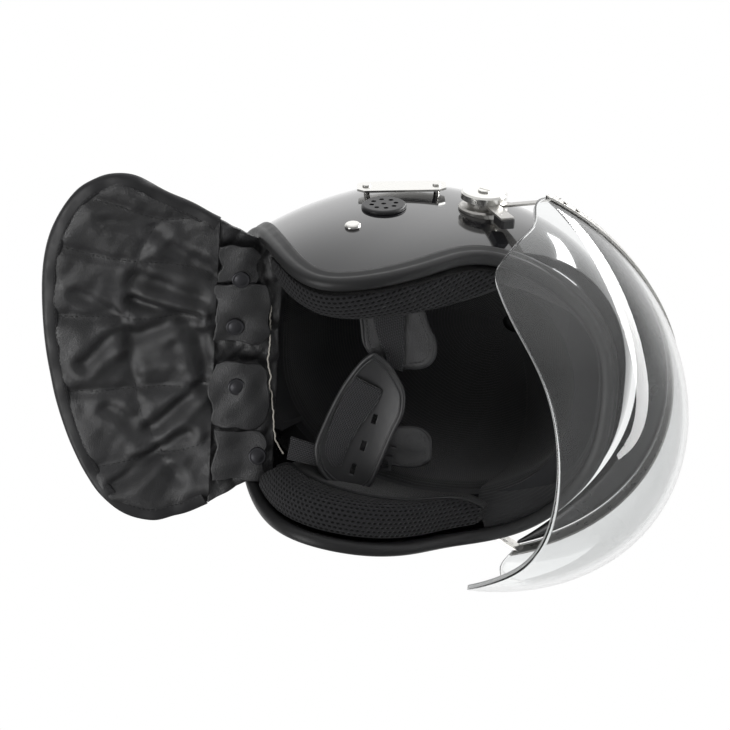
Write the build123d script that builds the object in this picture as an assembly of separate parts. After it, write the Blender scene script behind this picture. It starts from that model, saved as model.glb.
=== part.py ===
from build123d import *
from math import atan, atan2, cos, degrees, hypot, pi, radians, sin, sqrt
import os

# Police riot helmet: gloss shell with a rubber edge trim, a clear lifting visor on two
# side pivots, a quilted leather neck guard and a chin strap with a leather cup.
# The frame is the wearer's: +Z to the crown, -Y to the face, +X to the wearer's left.
# The origin is the middle of the line between the two visor pivots.

# Shell
shell_side = 114.6            # half of the shell's width
shell_front = 130.0           # centre forward to the forehead
shell_back = 152.0            # centre back to the occiput
shell_crown = 119.0           # centre up to the crown
skirt_depth = 172.0           # centre down to where the blank ends, below the rim
skirt_curve = 254.0           # depth at which the skirt's curve would close
shell_wall = 4.0
seat_gap = 0.1                # between the shell and what stands on it
centre_back = 15.0            # the shell's centre lies behind the pivots
centre_up = -6.6              # and below them
dome_power = 2.3              # 2 is an ellipse, more is fuller
plan_power_crown = 1.9
plan_power_skirt = 3.4
ring_points = 24
crown_level_shares = [0.97, 0.86, 0.68, 0.46, 0.23, 0.0]
skirt_level_shares = [0.17, 0.34, 0.51, 0.68, 0.84, 1.0]

# Rim seen from the side: y from the pivots as a share of the shell's front or back
# reach, z as a share of the ear drop
ear_drop = 148.5
rim_shares = [
    (1.18, -0.49),
    (0.96, -0.525),
    (0.77, -0.67),
    (0.50, -0.89),
    (0.19, -1.0),
    (-0.03, -0.865),
    (-0.185, -0.63),
    (-0.28, -0.43),
    (-0.42, -0.315),
    (-0.675, -0.17),
    (-0.95, 0.01),
    (-1.22, 0.06),
]

# Rubber edge trim
trim_cheek = 2.2              # rubber on each side of the shell's wall
trim_nose = 2.4               # rubber below the rim
trim_height = 11.0
trim_fit = 0.05

# Liner, lining and pads
liner_thickness = 22.0
liner_setback = 14.0          # liner's lower edge above the rim at the brow
layer_gap = 0.3
brow_floor_shares = [0.80, 0.86, 0.92, 1.0]
lining_thickness = 3.5
pad_thickness = 22.0
pad_end_share = 0.45
pad_pocket = 7.0              # room for the strap between a pad and the shell
pad_rim_gap = 4.0
pad_top_gap = 1.6
pad_crown_share = 0.2         # height of the fullest line, from the bottom
pad_top_share = 0.8           # thickness at the top
pad_belly = 2.0               # bulge of the inner face
pad_stations = [-46.0, -38.0, -30.0, -20.0, 4.0, 34.0, 64.0, 92.0]
pad_round_share = 0.71        # how full the section is between its ends and its crown
# Line between the liner above and the pads below, y and z as for the rim
pad_top_shares = [(1.2, -0.30), (0.80, -0.33), (0.42, -0.35), (0.07, -0.315), (-0.40, -0.165)]
nape_pad_thickness = 26.0
nape_pad_half_width = 62.0
nape_pad_drop = 23.0

# Hearing vents
vent_radius = 15.5
vent_height = 2.6
vent_hole_radius = 1.7
vent_hole_ring = 8.5
vent_hole_count = 8
vent_back = 53.8
vent_drop = 42.1

# Chin strap rivets
rivet_radius = 5.6
rivet_height = 2.6
rivet_gap = 0.15
rivet_back = 52.0
rivet_drop = 81.0

# Gas mask plates
plate_length = 62.0
plate_width = 24.0
plate_thickness = 1.5
plate_corner = 5.0
plate_standoff = 3.2
plate_back = 62.4
plate_drop = 8.0
plate_slope = 35.5            # degrees, the rear end is the lower one
plate_rivet_span = 49.0
plate_rivet_radius = 3.0
plate_rivet_head = 1.4
plate_rivet_foot = 2.2

# Visor pivots
base_radius = 17.0
base_height = 3.4
washer_radius = 11.0
arm_plane = 120.9             # pivots' middle out to the inner face of an arm
arm_thickness = 1.5
side_gap = 0.1
knob_radius = 16.0
knob_height = 5.2
knob_chamfer = 1.2
shaft_radius = 4.0
shaft_clearance = 0.1
screw_radius = 4.6
screw_height = 1.2
screw_slot = 1.2

# Visor lens: a long ellipsoid that points forward and down
lens_half_width = 148.3
lens_reach = 225.9
lens_half_height = 140.3
lens_nose_drop = 21.4         # degrees below level
lens_centre_back = 23.5
lens_centre_down = 13.6
lens_thickness = 3.0
# Top edge of the lens seen from the side
lens_top_back = 50.0          # rear end of the top edge, forward of the pivots
lens_top_rise = 8.6           # its height there
lens_top_slope = 0.42         # rise for each unit forward
lens_front_limit = 225.0
# Rear and lower edge, forward and down from the pivots as shares of the lobe's place
lobe_forward = 72.0
lobe_down = 99.0
lens_edge_shares = [
    (0.735, 0.20),
    (0.85, 0.345),
    (0.94, 0.46),
    (0.985, 0.70),
    (1.0, 0.88),
    (1.02, 1.00),
    (1.17, 1.105),
    (1.43, 1.20),
    (1.85, 1.295),
    (2.15, 1.385),
    (2.45, 1.52),
]

# Visor band with its arms
band_width = 11.0
band_thickness = 1.5
arm_head_radius = 13.0
arm_neck_width = 9.0
flare_start = 18.0            # where an arm starts to lean out, forward of its pivot
flare_end = 55.5              # where it meets the band
clip_forward = 29.0
clip_down = 19.0
clip_length = 15.0
clip_width = 10.0
clip_height = 5.6
seal_thickness = 4.6
seal_width = 12.0
seal_start = 66.0
band_rivet_radius = 1.6
band_rivet_head = 0.9
band_rivet_places = [60.0, 68.0]

# Neck guard
guard_root_back = 103.0
guard_root_down = 88.0
guard_slope = 39.3            # degrees below level, towards the back
strip_length = 45.0
strip_thickness = 4.0
strip_root_half = 70.0
strip_end_half = 111.0
strip_crown = 15.0
strip_room = 1.1              # round the rim's trim
fold_back = 4.0               # the neck guard's fold line from its root
fold_down = 11.0
fold_range = 40.0             # degrees
fold_steps = 3
guard_length = 123.0
guard_half_width = 131.0
guard_thickness = 8.0
guard_crown = 15.0
guard_width_shares = [(0.0, 0.86), (0.2, 0.955), (0.4, 1.0), (0.57, 0.985), (0.73, 0.87), (0.86, 0.68), (0.94, 0.48), (1.0, 0.24)]
guard_gap = 0.4
binding_width = 10.0
binding_wrap = 1.2
tab_length = 22.0
tab_width = 17.0
tab_thickness = 1.8
tab_places = [-66.0, -27.0, 18.0, 63.0]
snap_radius = 5.6
snap_height = 2.2
tab_place_share = 0.62
tab_relief = 0.4

# Chin strap: a plane across the helmet whose normal points down and forward
strap_back = 33.0
strap_drop = 90.0
strap_tilt = 34.0             # degrees between the plane's normal and straight down
webbing_width = 22.0
webbing_thickness = 2.0
flap_thickness = 2.4
flap_width = 46.0
flap_round = 12.0
flap_right_end = 24.0         # middle plane out to the inner end of the right flap
flap_right_front = 4.0
flap_left_end = 30.0
flap_left_front = 13.0
webbing_right_end = -6.0
webbing_right_front = 2.0
webbing_left_end = 44.0
webbing_left_front = -9.0
flap_pad_gap = 0.4
cup_right_end = -25.0
cup_length = 91.0
cup_half_width = 20.0
cup_thickness = 2.6
cup_depth = 8.0
cup_width_shares = [(0.0, 0.22), (0.2, 0.72), (0.5, 1.0), (0.78, 0.92), (1.0, 0.5)]
cup_slot_length = 8.0
cup_slot_width = 4.5
cup_slot_place_shares = [0.42, 0.62, 0.82]
cup_slot_side_share = 0.5
cup_webbing_start_share = 0.13
cup_webbing_end_share = 0.86
cup_webbing_width_share = 0.55
slide_length = 11.0
slide_width = 16.0
slide_thickness = 2.5
slide_bar = 2.4
slide_side = 57.0             # from the middle plane to the slide's middle
slide_front = 19.0

cutter_overrun = 40.0         # how far every cutter runs past what it cuts
head_round_share = 0.7         # rounding of every rivet and cap, of its height
SIDES = {"right": -1, "left": 1}


def level(height, inset):
    """Front, back and side reach at a height above the shell's centre, set in by `inset`."""
    if height > 0:
        share = (height / (shell_crown - inset)) ** dome_power
        grow = (1 - share) ** (1 / dome_power)
        return [(reach - inset) * grow for reach in (shell_front, shell_back, shell_side)]
    grow = sqrt(1 - (height / skirt_curve) ** 2)
    return [reach * grow - inset for reach in (shell_front, shell_back, shell_side)]


def plan_power(height):
    """The plan turns from oval at the crown to squarer at the skirt."""
    share = (shell_crown - height) / (shell_crown + skirt_depth)
    return plan_power_crown + (plan_power_skirt - plan_power_crown) * share


def half_width(y, z, inset=0.0):
    """Distance from the middle plane to the shell's surface at a place seen from the side."""
    height = z - centre_up
    front, back, side = level(height, inset)
    power = plan_power(height)
    middle = centre_back + (back - front) / 2
    share = min(abs(y - middle) * 2 / (front + back), 1)
    return side * (1 - share**power) ** (1 / power)


def ring(height, inset):
    """The shell's outline at one level as a face."""
    front, back, side = level(height, inset)
    power = 2 / plan_power(height)
    middle = centre_back + (back - front) / 2
    points = []
    for k in range(ring_points):
        turn = 2 * pi * (k + 0.5) / ring_points
        along = abs(cos(turn)) ** power * (1 if cos(turn) > 0 else -1)
        across = abs(sin(turn)) ** power * (1 if sin(turn) > 0 else -1)
        points.append((side * across, middle + (front + back) / 2 * along, height + centre_up))
    return Face(Wire(Spline(*points, periodic=True)))


def dome(inset):
    """Everything inside the shell's outer surface set in by `inset`."""
    rings = [ring(-share * skirt_depth, inset) for share in reversed(skirt_level_shares)]
    rings += [ring(share * (shell_crown - inset), inset) for share in reversed(crown_level_shares)]
    front, back, side = level(crown_level_shares[0] * (shell_crown - inset), inset)
    rings.append(Vertex(0, centre_back + (back - front) / 2, centre_up + shell_crown - inset))
    return loft(rings)


def side_point(y_share, z_share):
    """A place of a side-view outline that follows the shell's reaches and the ear drop."""
    reach = shell_back if y_share > 0 else shell_front
    return y_share * reach, z_share * ear_drop


def side_slab(edges, reach):
    """A closed outline in the side view, made as wide as `reach` to both sides."""
    return extrude(Face(Wire(edges)), reach, dir=(1, 0, 0), both=True)


def above(line):
    """Everything above a line seen from the side, wider than the shell."""
    start = line @ 0
    end = line @ 1
    roof = centre_up + shell_crown + cutter_overrun
    edges = [
        *line.edges(),
        Line(end, (0, end.Y, roof)),
        Line((0, end.Y, roof), (0, start.Y, roof)),
        Line((0, start.Y, roof), start),
    ]
    return side_slab(edges, shell_side + cutter_overrun)


rim_base = Spline(*[(0, *side_point(*share)) for share in rim_shares])
rim_samples = 3 * len(rim_shares)


def rim_line(up):
    """The rim seen from the side, moved `up` square to itself."""
    points = []
    for k in range(rim_samples + 1):
        place = rim_base @ (k / rim_samples)
        along = rim_base % (k / rim_samples)
        points.append((0, place.Y + up * along.Z, place.Z - up * along.Y))
    return Spline(*points)


def rim_height(y):
    """Height of the rim at a place seen from the side, behind its most forward fold."""
    heights = []
    for k in range(rim_samples * rim_samples + 1):
        place = rim_base @ (k / (rim_samples * rim_samples))
        heights.append((abs(place.Y - y), place.Z))
    return min(heights)[1]


def on_shell(y, z, side):
    """Plane on the shell's outer surface, looking outwards, at a place seen from the side."""
    step = shell_wall
    x = half_width(y, z)
    slope_y = (half_width(y + step, z) - half_width(y - step, z)) / (2 * step)
    slope_z = (half_width(y, z + step) - half_width(y, z - step)) / (2 * step)
    return Plane(origin=(side * x, y, z), x_dir=(side * slope_y, 1, 0), z_dir=(side, -slope_y, -slope_z))


def column(plane, radius, start, end):
    """A round solid along a plane's normal."""
    return extrude(plane.offset(start) * Circle(radius), end - start)


# Domes that several pieces share
outer_dome = dome(0)
inner_dome = dome(shell_wall)
seat_dome = dome(-seat_gap)
rim_block = above(rim_line(0))


def left_half():
    reach = shell_side + shell_back + cutter_overrun
    return Pos(reach / 2, 0, 0) * Box(reach, 2 * reach, 2 * reach)


def make_shell():
    """The shell's left half, mirrored so that the trim fits on both sides."""
    left = ((outer_dome & left_half()) - inner_dome) & above(rim_line(trim_fit))
    return left + mirror(left, about=Plane.YZ)


def make_trim():
    """U-channel over the shell's rim, made as the left half and mirrored."""
    half = left_half()
    low = above(rim_line(-trim_nose))
    strip = (low - above(rim_line(trim_height))) & half
    under = (low - rim_block) & half
    outer = (dome(-trim_cheek) - dome(-trim_fit)) & strip
    inner = (dome(shell_wall + trim_fit) - dome(shell_wall + trim_cheek)) & strip
    nose = (dome(-trim_cheek) - dome(shell_wall + trim_cheek)) & under
    left = outer + inner + nose
    return left + mirror(left, about=Plane.YZ)


def liner_floor():
    """Lower edge of the liner seen from the side, from the nape to the brow."""
    brow = rim_line(liner_setback)
    points = [(0, *side_point(*share)) for share in pad_top_shares]
    for share in brow_floor_shares:
        points.append(brow @ share)
    return Polyline(*points)


def make_liner():
    outside = shell_wall + layer_gap
    return (dome(outside) - dome(outside + liner_thickness)) & above(liner_floor())


def make_lining():
    outside = shell_wall + liner_thickness + 2 * layer_gap
    return (dome(outside) - dome(outside + lining_thickness)) & above(liner_floor())


def pad_top(y):
    """Height of the line between liner and pad at a place seen from the side."""
    points = [side_point(*share) for share in pad_top_shares]
    for (y1, z1), (y0, z0) in zip(points, points[1:]):
        if y0 <= y <= y1:
            return z0 + (z1 - z0) * (y - y0) / (y1 - y0)
    return points[-1][1]


def pad_points(y, share=1.0):
    """Top outside, top inside, fullest and bottom place of a pad's section, left half."""
    top = pad_top(y) - pad_top_gap
    bottom = rim_height(y) + pad_rim_gap
    inset = shell_wall + pad_pocket
    high = half_width(y, top, inset)
    low = half_width(y, bottom, inset)
    full = bottom + pad_crown_share * (top - bottom)
    crown = low + pad_crown_share * (high - low) - pad_thickness * share
    return (high, top), (high - pad_thickness * pad_top_share * share, top), (crown, full), (low, bottom)


def make_cheek_pad(side):
    """Loft through block sections along the ear, with a round lower edge."""
    sections = []
    last = len(pad_stations) - 1
    for k, y in enumerate(pad_stations):
        share = pad_end_share if k in (0, last) else 1.0
        high, inside, crown, low = [(side * x, y, z) for x, z in pad_points(y, share)]
        belly = ((inside[0] + crown[0]) / 2 - side * pad_belly, y, (inside[2] + crown[2]) / 2)
        across = low[0] + pad_round_share * (crown[0] - low[0])
        lower = (across, y, crown[2] + pad_round_share * (low[2] - crown[2]))
        edges = [
            Line(high, inside),
            ThreePointArc(inside, belly, crown),
            ThreePointArc(crown, lower, low),
            Line(low, high),
        ]
        sections.append(Face(Wire(edges)))
    return loft(sections)


def make_nape_pad():
    outside = shell_wall + pad_pocket
    roll = dome(outside) - dome(outside + nape_pad_thickness)
    top = min(pad_top(shell_back), pad_top(shell_back - 2 * nape_pad_thickness)) - pad_top_gap
    block = Pos(0, shell_back, top - nape_pad_drop / 2) * Box(
        2 * nape_pad_half_width, 2 * nape_pad_thickness + cutter_overrun, nape_pad_drop
    )
    return roll & block


def top_edges(solid, seat):
    """Edges furthest along a seat's normal."""
    return solid.edges().group_by(Axis(seat.origin, seat.z_dir))[-1]


def make_vent(side):
    """Domed disc with one middle hole and a ring of holes round it."""
    seat = on_shell(vent_back, -vent_drop, side)
    vent = column(seat, vent_radius, -vent_height, vent_height)
    vent = fillet(top_edges(vent, seat), vent_height * head_round_share)
    places = [(0, 0)]
    for k in range(vent_hole_count):
        turn = 2 * pi * k / vent_hole_count
        places.append((vent_hole_ring * cos(turn), vent_hole_ring * sin(turn)))
    for x, y in places:
        vent -= seat * Pos(x, y, 0) * Cylinder(vent_hole_radius, 4 * vent_height)
    return vent - seat_dome


def domed_head(seat, radius, height):
    """A low round head that stands on the shell."""
    head = column(seat, radius, rivet_gap, height)
    return fillet(top_edges(head, seat), height * head_round_share)


def make_strap_rivets():
    heads = []
    for side in SIDES.values():
        heads.append(domed_head(on_shell(rivet_back, -rivet_drop, side), rivet_radius, rivet_height))
    return Compound(children=heads)


def plate_seat(side):
    """Plane of a mask plate's middle, x along the plate, at the shell's surface."""
    seat = on_shell(plate_back, -plate_drop, side)
    return Plane(seat.location * Rot(0, 0, -side * plate_slope))


def make_mask_plate(side):
    """Steel plate with chamfered corners that stands off the shell on its rivets."""
    seat = plate_seat(side)
    outline = Rectangle(plate_length, plate_width)
    outline = chamfer(outline.vertices(), plate_corner)
    plate = extrude(seat.offset(plate_standoff) * outline, plate_thickness)
    for end in (-1, 1):
        place = seat * Pos(end * plate_rivet_span / 2, 0, plate_standoff)
        plate -= place * Cylinder(plate_rivet_foot, 4 * plate_thickness)
    return plate


def make_mask_plate_rivets():
    """Rivets with a foot that spaces the plate and a head that holds it."""
    rivets = []
    for side in SIDES.values():
        seat = plate_seat(side)
        head_base = plate_standoff + plate_thickness
        for end in (-1, 1):
            place = Plane(seat.location * Pos(end * plate_rivet_span / 2, 0, 0))
            foot = column(place, plate_rivet_foot, -plate_standoff, head_base) - seat_dome
            head = column(place, plate_rivet_radius, head_base, head_base + plate_rivet_head)
            head = fillet(top_edges(head, place), plate_rivet_head * head_round_share)
            rivets.append(foot + head)
    return Compound(children=rivets)


def pivot_plane(side):
    """Plane across a pivot at the middle of the helmet, looking outwards."""
    return Plane(origin=(0, 0, 0), x_dir=(0, 1, 0), z_dir=(side, 0, 0))


base_face = half_width(0, 0) + base_height
arm_outside = arm_plane + arm_thickness
knob_base = arm_outside + side_gap
knob_face = knob_base + knob_height


def make_pivot_base(side):
    plane = pivot_plane(side)
    base = column(plane, base_radius, base_face - 3 * base_height, base_face)
    base = chamfer(top_edges(base, plane), knob_chamfer)
    return base - seat_dome


def make_pivot_washer(side):
    return column(pivot_plane(side), washer_radius, base_face, arm_plane - side_gap)


def make_pivot_knob(side):
    """Round clamp knob with its shaft through the arm down to the washer."""
    plane = pivot_plane(side)
    head = column(plane, knob_radius, knob_base, knob_face)
    head = chamfer(top_edges(head, plane), knob_chamfer)
    return head + column(plane, shaft_radius, arm_plane - side_gap, knob_base)


def make_pivot_screws():
    screws = []
    for side in SIDES.values():
        plane = pivot_plane(side)
        screw = column(plane, screw_radius, knob_face, knob_face + screw_height)
        screw = fillet(top_edges(screw, plane), screw_height / 2)
        slot = Box(screw_height, 2 * screw_radius, screw_slot)
        screws.append(screw - Pos(side * (knob_face + screw_height), 0, 0) * slot)
    return Compound(children=screws)


def lens_form(inset):
    """The lens's outer surface as a solid, set in by `inset`."""
    sizes = (lens_half_width - inset, lens_reach - inset, lens_half_height - inset)
    body = scale(Sphere(1), by=sizes)
    return Pos(0, lens_centre_back, -lens_centre_down) * Rot(lens_nose_drop, 0, 0) * body


def lens_half_width_at(y, z, inset=0.0):
    """Distance from the middle plane to the lens at a place seen from the side."""
    drop = radians(lens_nose_drop)
    back = y - lens_centre_back
    up = z + lens_centre_down
    along = back * cos(drop) + up * sin(drop)
    across = up * cos(drop) - back * sin(drop)
    share = 1 - (along / (lens_reach - inset)) ** 2 - (across / (lens_half_height - inset)) ** 2
    return (lens_half_width - inset) * sqrt(max(share, 0))


def lens_top(forward, down=0.0):
    """A point on the lens's top edge seen from the side, or `down` below it."""
    return 0, -forward, lens_top_rise + lens_top_slope * (forward - lens_top_back) - down


def top_strip(start, width):
    """Side view of a strip along the top edge, as wide as the visor."""
    edges = Polyline(
        lens_top(start),
        lens_top(lens_front_limit),
        lens_top(lens_front_limit, width),
        lens_top(start, width),
        close=True,
    ).edges()
    return side_slab(edges, lens_half_width + cutter_overrun)


def lens_outline():
    """The lens seen from the side: straight top, rear edge, lobe and lower edge."""
    edge_points = [lens_top(lens_top_back)]
    for y_share, z_share in lens_edge_shares:
        edge_points.append((0, -y_share * lobe_forward, -z_share * lobe_down))
    front = lens_top(lens_front_limit)
    edge = Spline(*edge_points)
    low = edge @ 1
    edges = [
        Line(lens_top(lens_top_back), front),
        Line(front, (0, -lens_front_limit, low.Z)),
        Line((0, -lens_front_limit, low.Z), low),
        edge,
    ]
    return side_slab(edges, lens_half_width + cutter_overrun)


def make_neck(side):
    """Strip from the pivot to the band that leans out to the lens's width."""
    end = lens_top(flare_end, band_width / 2)
    length = hypot(end[1], end[2])
    turn = degrees(atan2(end[2], end[1]))
    strip = Pos(0, end[1] / 2, end[2] / 2) * Rot(turn, 0, 0) * Box(4 * lens_half_width, length, arm_neck_width)
    out = lens_half_width_at(end[1], end[2])
    inner = [(side * arm_plane, 0), (side * arm_plane, -flare_start), (side * out, -flare_end)]
    outer = [(x + side * arm_thickness, y) for x, y in reversed(inner)]
    plan = Face(Wire(Polyline(*inner, *outer, close=True).edges()))
    return extrude(plan, cutter_overrun, dir=(0, 0, 1), both=True) & strip


def make_arm(side):
    """Flat arm head with the lug that carries the clip, and the neck to the band."""
    outline = Circle(arm_head_radius)
    lug_length = hypot(clip_forward, clip_down)
    lug_turn = degrees(atan2(-clip_down, -clip_forward))
    lug = Pos(-clip_forward / 2, -clip_down / 2) * Rot(0, 0, lug_turn) * Rectangle(lug_length + clip_width, clip_width)
    plane = Plane(origin=(side * arm_plane, 0, 0), x_dir=(0, 1, 0), z_dir=(1, 0, 0))
    head = extrude(plane * (outline + lug), side * arm_thickness) + make_neck(side)
    return head - column(pivot_plane(side), shaft_radius + shaft_clearance, 0, 2 * arm_plane)


def make_band():
    """Steel band round the lens's top edge, one piece with both arms."""
    band = (lens_form(-band_thickness) - lens_form(0)) & top_strip(lens_top_back, band_width)
    for side in SIDES.values():
        band += make_arm(side)
    return band


def make_lens(band):
    sheet = (lens_form(0) - lens_form(lens_thickness)) & lens_outline()
    return sheet - band


def make_seal():
    rubber = lens_form(lens_thickness) - lens_form(lens_thickness + seal_thickness)
    return rubber & top_strip(seal_start, seal_width)


def lens_seat(y, z, side, inset):
    """Plane on the lens's surface, looking outwards, at a place seen from the side."""
    step = lens_thickness
    x = lens_half_width_at(y, z, inset)
    slope = (lens_half_width_at(y + step, z) - lens_half_width_at(y - step, z)) / (2 * step)
    rise = (lens_half_width_at(y, z + step) - lens_half_width_at(y, z - step)) / (2 * step)
    return Plane(origin=(side * x, y, z), x_dir=(side * slope, 1, 0), z_dir=(side, -slope, -rise))


def make_band_rivets():
    """Rivet heads on the band's outer face near the arms."""
    band_face = lens_form(-band_thickness)
    rivets = []
    for side in SIDES.values():
        for forward in band_rivet_places:
            _, y, z = lens_top(forward, band_width / 2)
            seat = lens_seat(y, z, side, -band_thickness)
            head = column(seat, band_rivet_radius, -band_rivet_head, band_rivet_head)
            rivets.append(fillet(top_edges(head, seat), band_rivet_head / 2) - band_face)
    return Compound(children=rivets)


def make_arm_clip(side):
    """Detent block on the inner face of an arm's lug."""
    turn = degrees(atan2(-clip_down, -clip_forward))
    x = side * (arm_plane - clip_height / 2)
    block = Box(clip_length, clip_width, clip_height)
    block = chamfer(block.edges().filter_by(Axis.Z), clip_height / 4)
    plane = Plane(origin=(x, -clip_forward, -clip_down), x_dir=(0, 1, 0), z_dir=(1, 0, 0))
    return Location(plane) * Rot(0, 0, turn) * block


def guard_plane(along):
    """Plane across the guard: x to the wearer's left, y out of the guard's outer face."""
    slope = radians(guard_slope)
    middle = (0, guard_root_back + along * cos(slope), -guard_root_down - along * sin(slope))
    return Plane(origin=middle, x_dir=(1, 0, 0), z_dir=(0, -cos(slope), sin(slope)))


def guard_section(along, half, crown, thickness, lift=0.0):
    """Curved strip across the guard, `crown` higher in the middle than at its sides."""
    plane = guard_plane(along)
    base = lift - thickness / 2
    outer = ThreePointArc((-half, base + thickness - crown), (0, base + thickness), (half, base + thickness - crown))
    inner = ThreePointArc((half, base - crown), (0, base), (-half, base - crown))
    edges = [
        outer,
        Line((half, base + thickness - crown), (half, base - crown)),
        inner,
        Line((-half, base - crown), (-half, base + thickness - crown)),
    ]
    return plane * Face(Wire(edges))


def guard_body(grow=0.0, thicken=0.0):
    """The quilted panel, grown sideways and at its end, and thickened on both faces."""
    sections = []
    for along_share, width_share in guard_width_shares:
        along = strip_length + guard_gap + along_share * (guard_length + grow)
        half = width_share * guard_half_width + grow
        sections.append(guard_section(along, half, guard_crown, guard_thickness + 2 * thicken))
    return loft(sections)


def trim_room():
    """The rim with its trim at the nape, grown by the room that the neck guard needs."""
    out = trim_cheek + strip_room
    wall = dome(-out) - dome(shell_wall + out)
    _, depth = side_point(*rim_shares[0])
    block = Pos(0, guard_root_back + strip_length, depth) * Box(
        4 * strip_end_half, 4 * strip_length, 4 * strip_length
    )
    return wall & block & above(rim_line(-trim_nose - strip_room))


def strip_half(share):
    """Half of the strip's width at a share of its length."""
    return strip_root_half + share * (strip_end_half - strip_root_half)


def strip_drop(place):
    """How far the strip hangs below its middle at a place across it."""
    return strip_crown * (place / strip_end_half) ** 2


def make_neck_strip():
    sections = []
    for share in (0.0, 1.0):
        half = strip_half(share)
        sections.append(guard_section(share * strip_length, half, strip_drop(half), strip_thickness))
    strip = loft(sections)
    fold = Pos(0, guard_root_back + fold_back, -guard_root_down - fold_down)
    room = trim_room()
    for step in range(fold_steps + 1):
        strip -= fold * Rot(fold_range * step / fold_steps, 0, 0) * fold.inverse() * room
    return strip


def make_binding(panel):
    """Strip folded over the panel's side and end edges."""
    wrap = guard_body(binding_wrap, binding_wrap)
    window = guard_body(-binding_width, cutter_overrun / 2)
    return wrap - window - panel


def tab_seat(place):
    """Location under the strip: x across the tab, y towards the strip, z along the tab."""
    lean = -degrees(atan(2 * strip_drop(place) / place))
    base = -strip_thickness / 2 - strip_drop(place) - tab_relief
    plane = guard_plane(strip_length * tab_place_share)
    return plane.location * Pos(place, base, 0) * Rot(0, 0, lean)


def make_neck_tabs():
    tabs = []
    for place in tab_places:
        tabs.append(tab_seat(place) * Pos(0, -tab_thickness / 2, 0) * Box(tab_width, tab_thickness, tab_length))
    return Compound(children=tabs)


def make_snap_caps():
    caps = []
    for place in tab_places:
        seat = Plane(tab_seat(place) * Pos(0, -tab_thickness, 0) * Rot(90, 0, 0))
        cap = column(seat, snap_radius, 0, snap_height)
        caps.append(fillet(top_edges(cap, seat), snap_height * head_round_share))
    return Compound(children=caps)


def strap_plane(lift=0.0):
    """Plane of the chin strap: x to the wearer's left, y forward and up."""
    tilt = radians(strap_tilt)
    normal = (0, -sin(tilt), -cos(tilt))
    plane = Plane(origin=(0, strap_back, -strap_drop), x_dir=(1, 0, 0), z_dir=normal)
    return plane.offset(lift)


def pad_face():
    """Distance from the middle plane to the fullest place of the cheek pads."""
    return min(pad_points(y)[2][0] for y in pad_stations[1:-1]) - pad_belly


def strap_sheet(side, outline, end, front, lift, thickness):
    """A flat sheet of the strap from a cheek pad's face inwards, `end` from the middle."""
    blank = extrude(strap_plane(lift) * Pos(side * (end + shell_side), front) * outline, thickness)
    reach = pad_face() - flap_pad_gap
    return blank - Pos(side * (reach + 2 * shell_side), 0, 0) * Box(4 * shell_side, 4 * shell_side, 4 * shell_side)


def make_ear_flap(side):
    """Leather flap behind the webbing, its free end rounded."""
    outline = RectangleRounded(2 * shell_side, flap_width, flap_round)
    end, front = (flap_right_end, flap_right_front) if side < 0 else (flap_left_end, flap_left_front)
    lift = -webbing_thickness - layer_gap - flap_thickness
    return strap_sheet(side, outline, end, front, lift, flap_thickness)


def make_webbing(side):
    """Webbing that lies on an ear flap and runs to the cup."""
    outline = Rectangle(2 * shell_side, webbing_width)
    end, front = (webbing_right_end, webbing_right_front) if side < 0 else (webbing_left_end, webbing_left_front)
    return strap_sheet(side, outline, end, front, -webbing_thickness, webbing_thickness)


def cup_face(share, half, base, thickness, depth):
    """Trough-shaped section across the cup, its sides `depth` nearer the chin."""
    tilt = radians(strap_tilt)
    middle = strap_plane().location * Pos(cup_right_end + share * cup_length, 0, 0)
    plane = Plane(origin=middle.position, x_dir=(0, -cos(tilt), sin(tilt)), z_dir=(1, 0, 0))
    out = -1 if plane.y_dir.Z > 0 else 1
    low = out * base
    high = out * (base + thickness)
    rise = out * depth
    edges = [
        ThreePointArc((-half, low + rise), (0, low), (half, low + rise)),
        Line((half, low + rise), (half, high + rise)),
        ThreePointArc((half, high + rise), (0, high), (-half, high + rise)),
        Line((-half, high + rise), (-half, low + rise)),
    ]
    return plane * Face(Wire(edges))


def make_chin_cup():
    """Boat-shaped cup with three slots through its front side."""
    sections = []
    for share, width_share in cup_width_shares:
        half = width_share * cup_half_width
        sections.append(cup_face(share, half, layer_gap, cup_thickness, cup_depth * width_share))
    cup = loft(sections)
    for share in cup_slot_place_shares:
        place = Pos(cup_right_end + share * cup_length, cup_slot_side_share * cup_half_width, 0)
        cup -= strap_plane() * place * Box(cup_slot_length, cup_slot_width, 4 * cup_half_width)
    return cup


def make_cup_webbing():
    """Webbing along the inside of the cup."""
    sections = []
    lift = layer_gap + cup_thickness + layer_gap
    for share in (cup_webbing_start_share, (cup_webbing_start_share + cup_webbing_end_share) / 2, cup_webbing_end_share):
        half = webbing_width / 2 * (cup_webbing_width_share if share == cup_webbing_start_share else 1)
        sections.append(cup_face(share, half, lift, webbing_thickness, cup_depth * (half / cup_half_width) ** 2))
    return loft(sections)


def make_strap_slide():
    """Small plastic frame on the left ear flap."""
    frame = Rectangle(slide_length, slide_width) - Rectangle(slide_length - 2 * slide_bar, slide_width - 2 * slide_bar)
    return extrude(strap_plane(-webbing_thickness) * Pos(slide_side, slide_front) * frame, slide_thickness)


def write(name, solid):
    export_step(solid, "parts/" + name + ".step")


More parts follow.
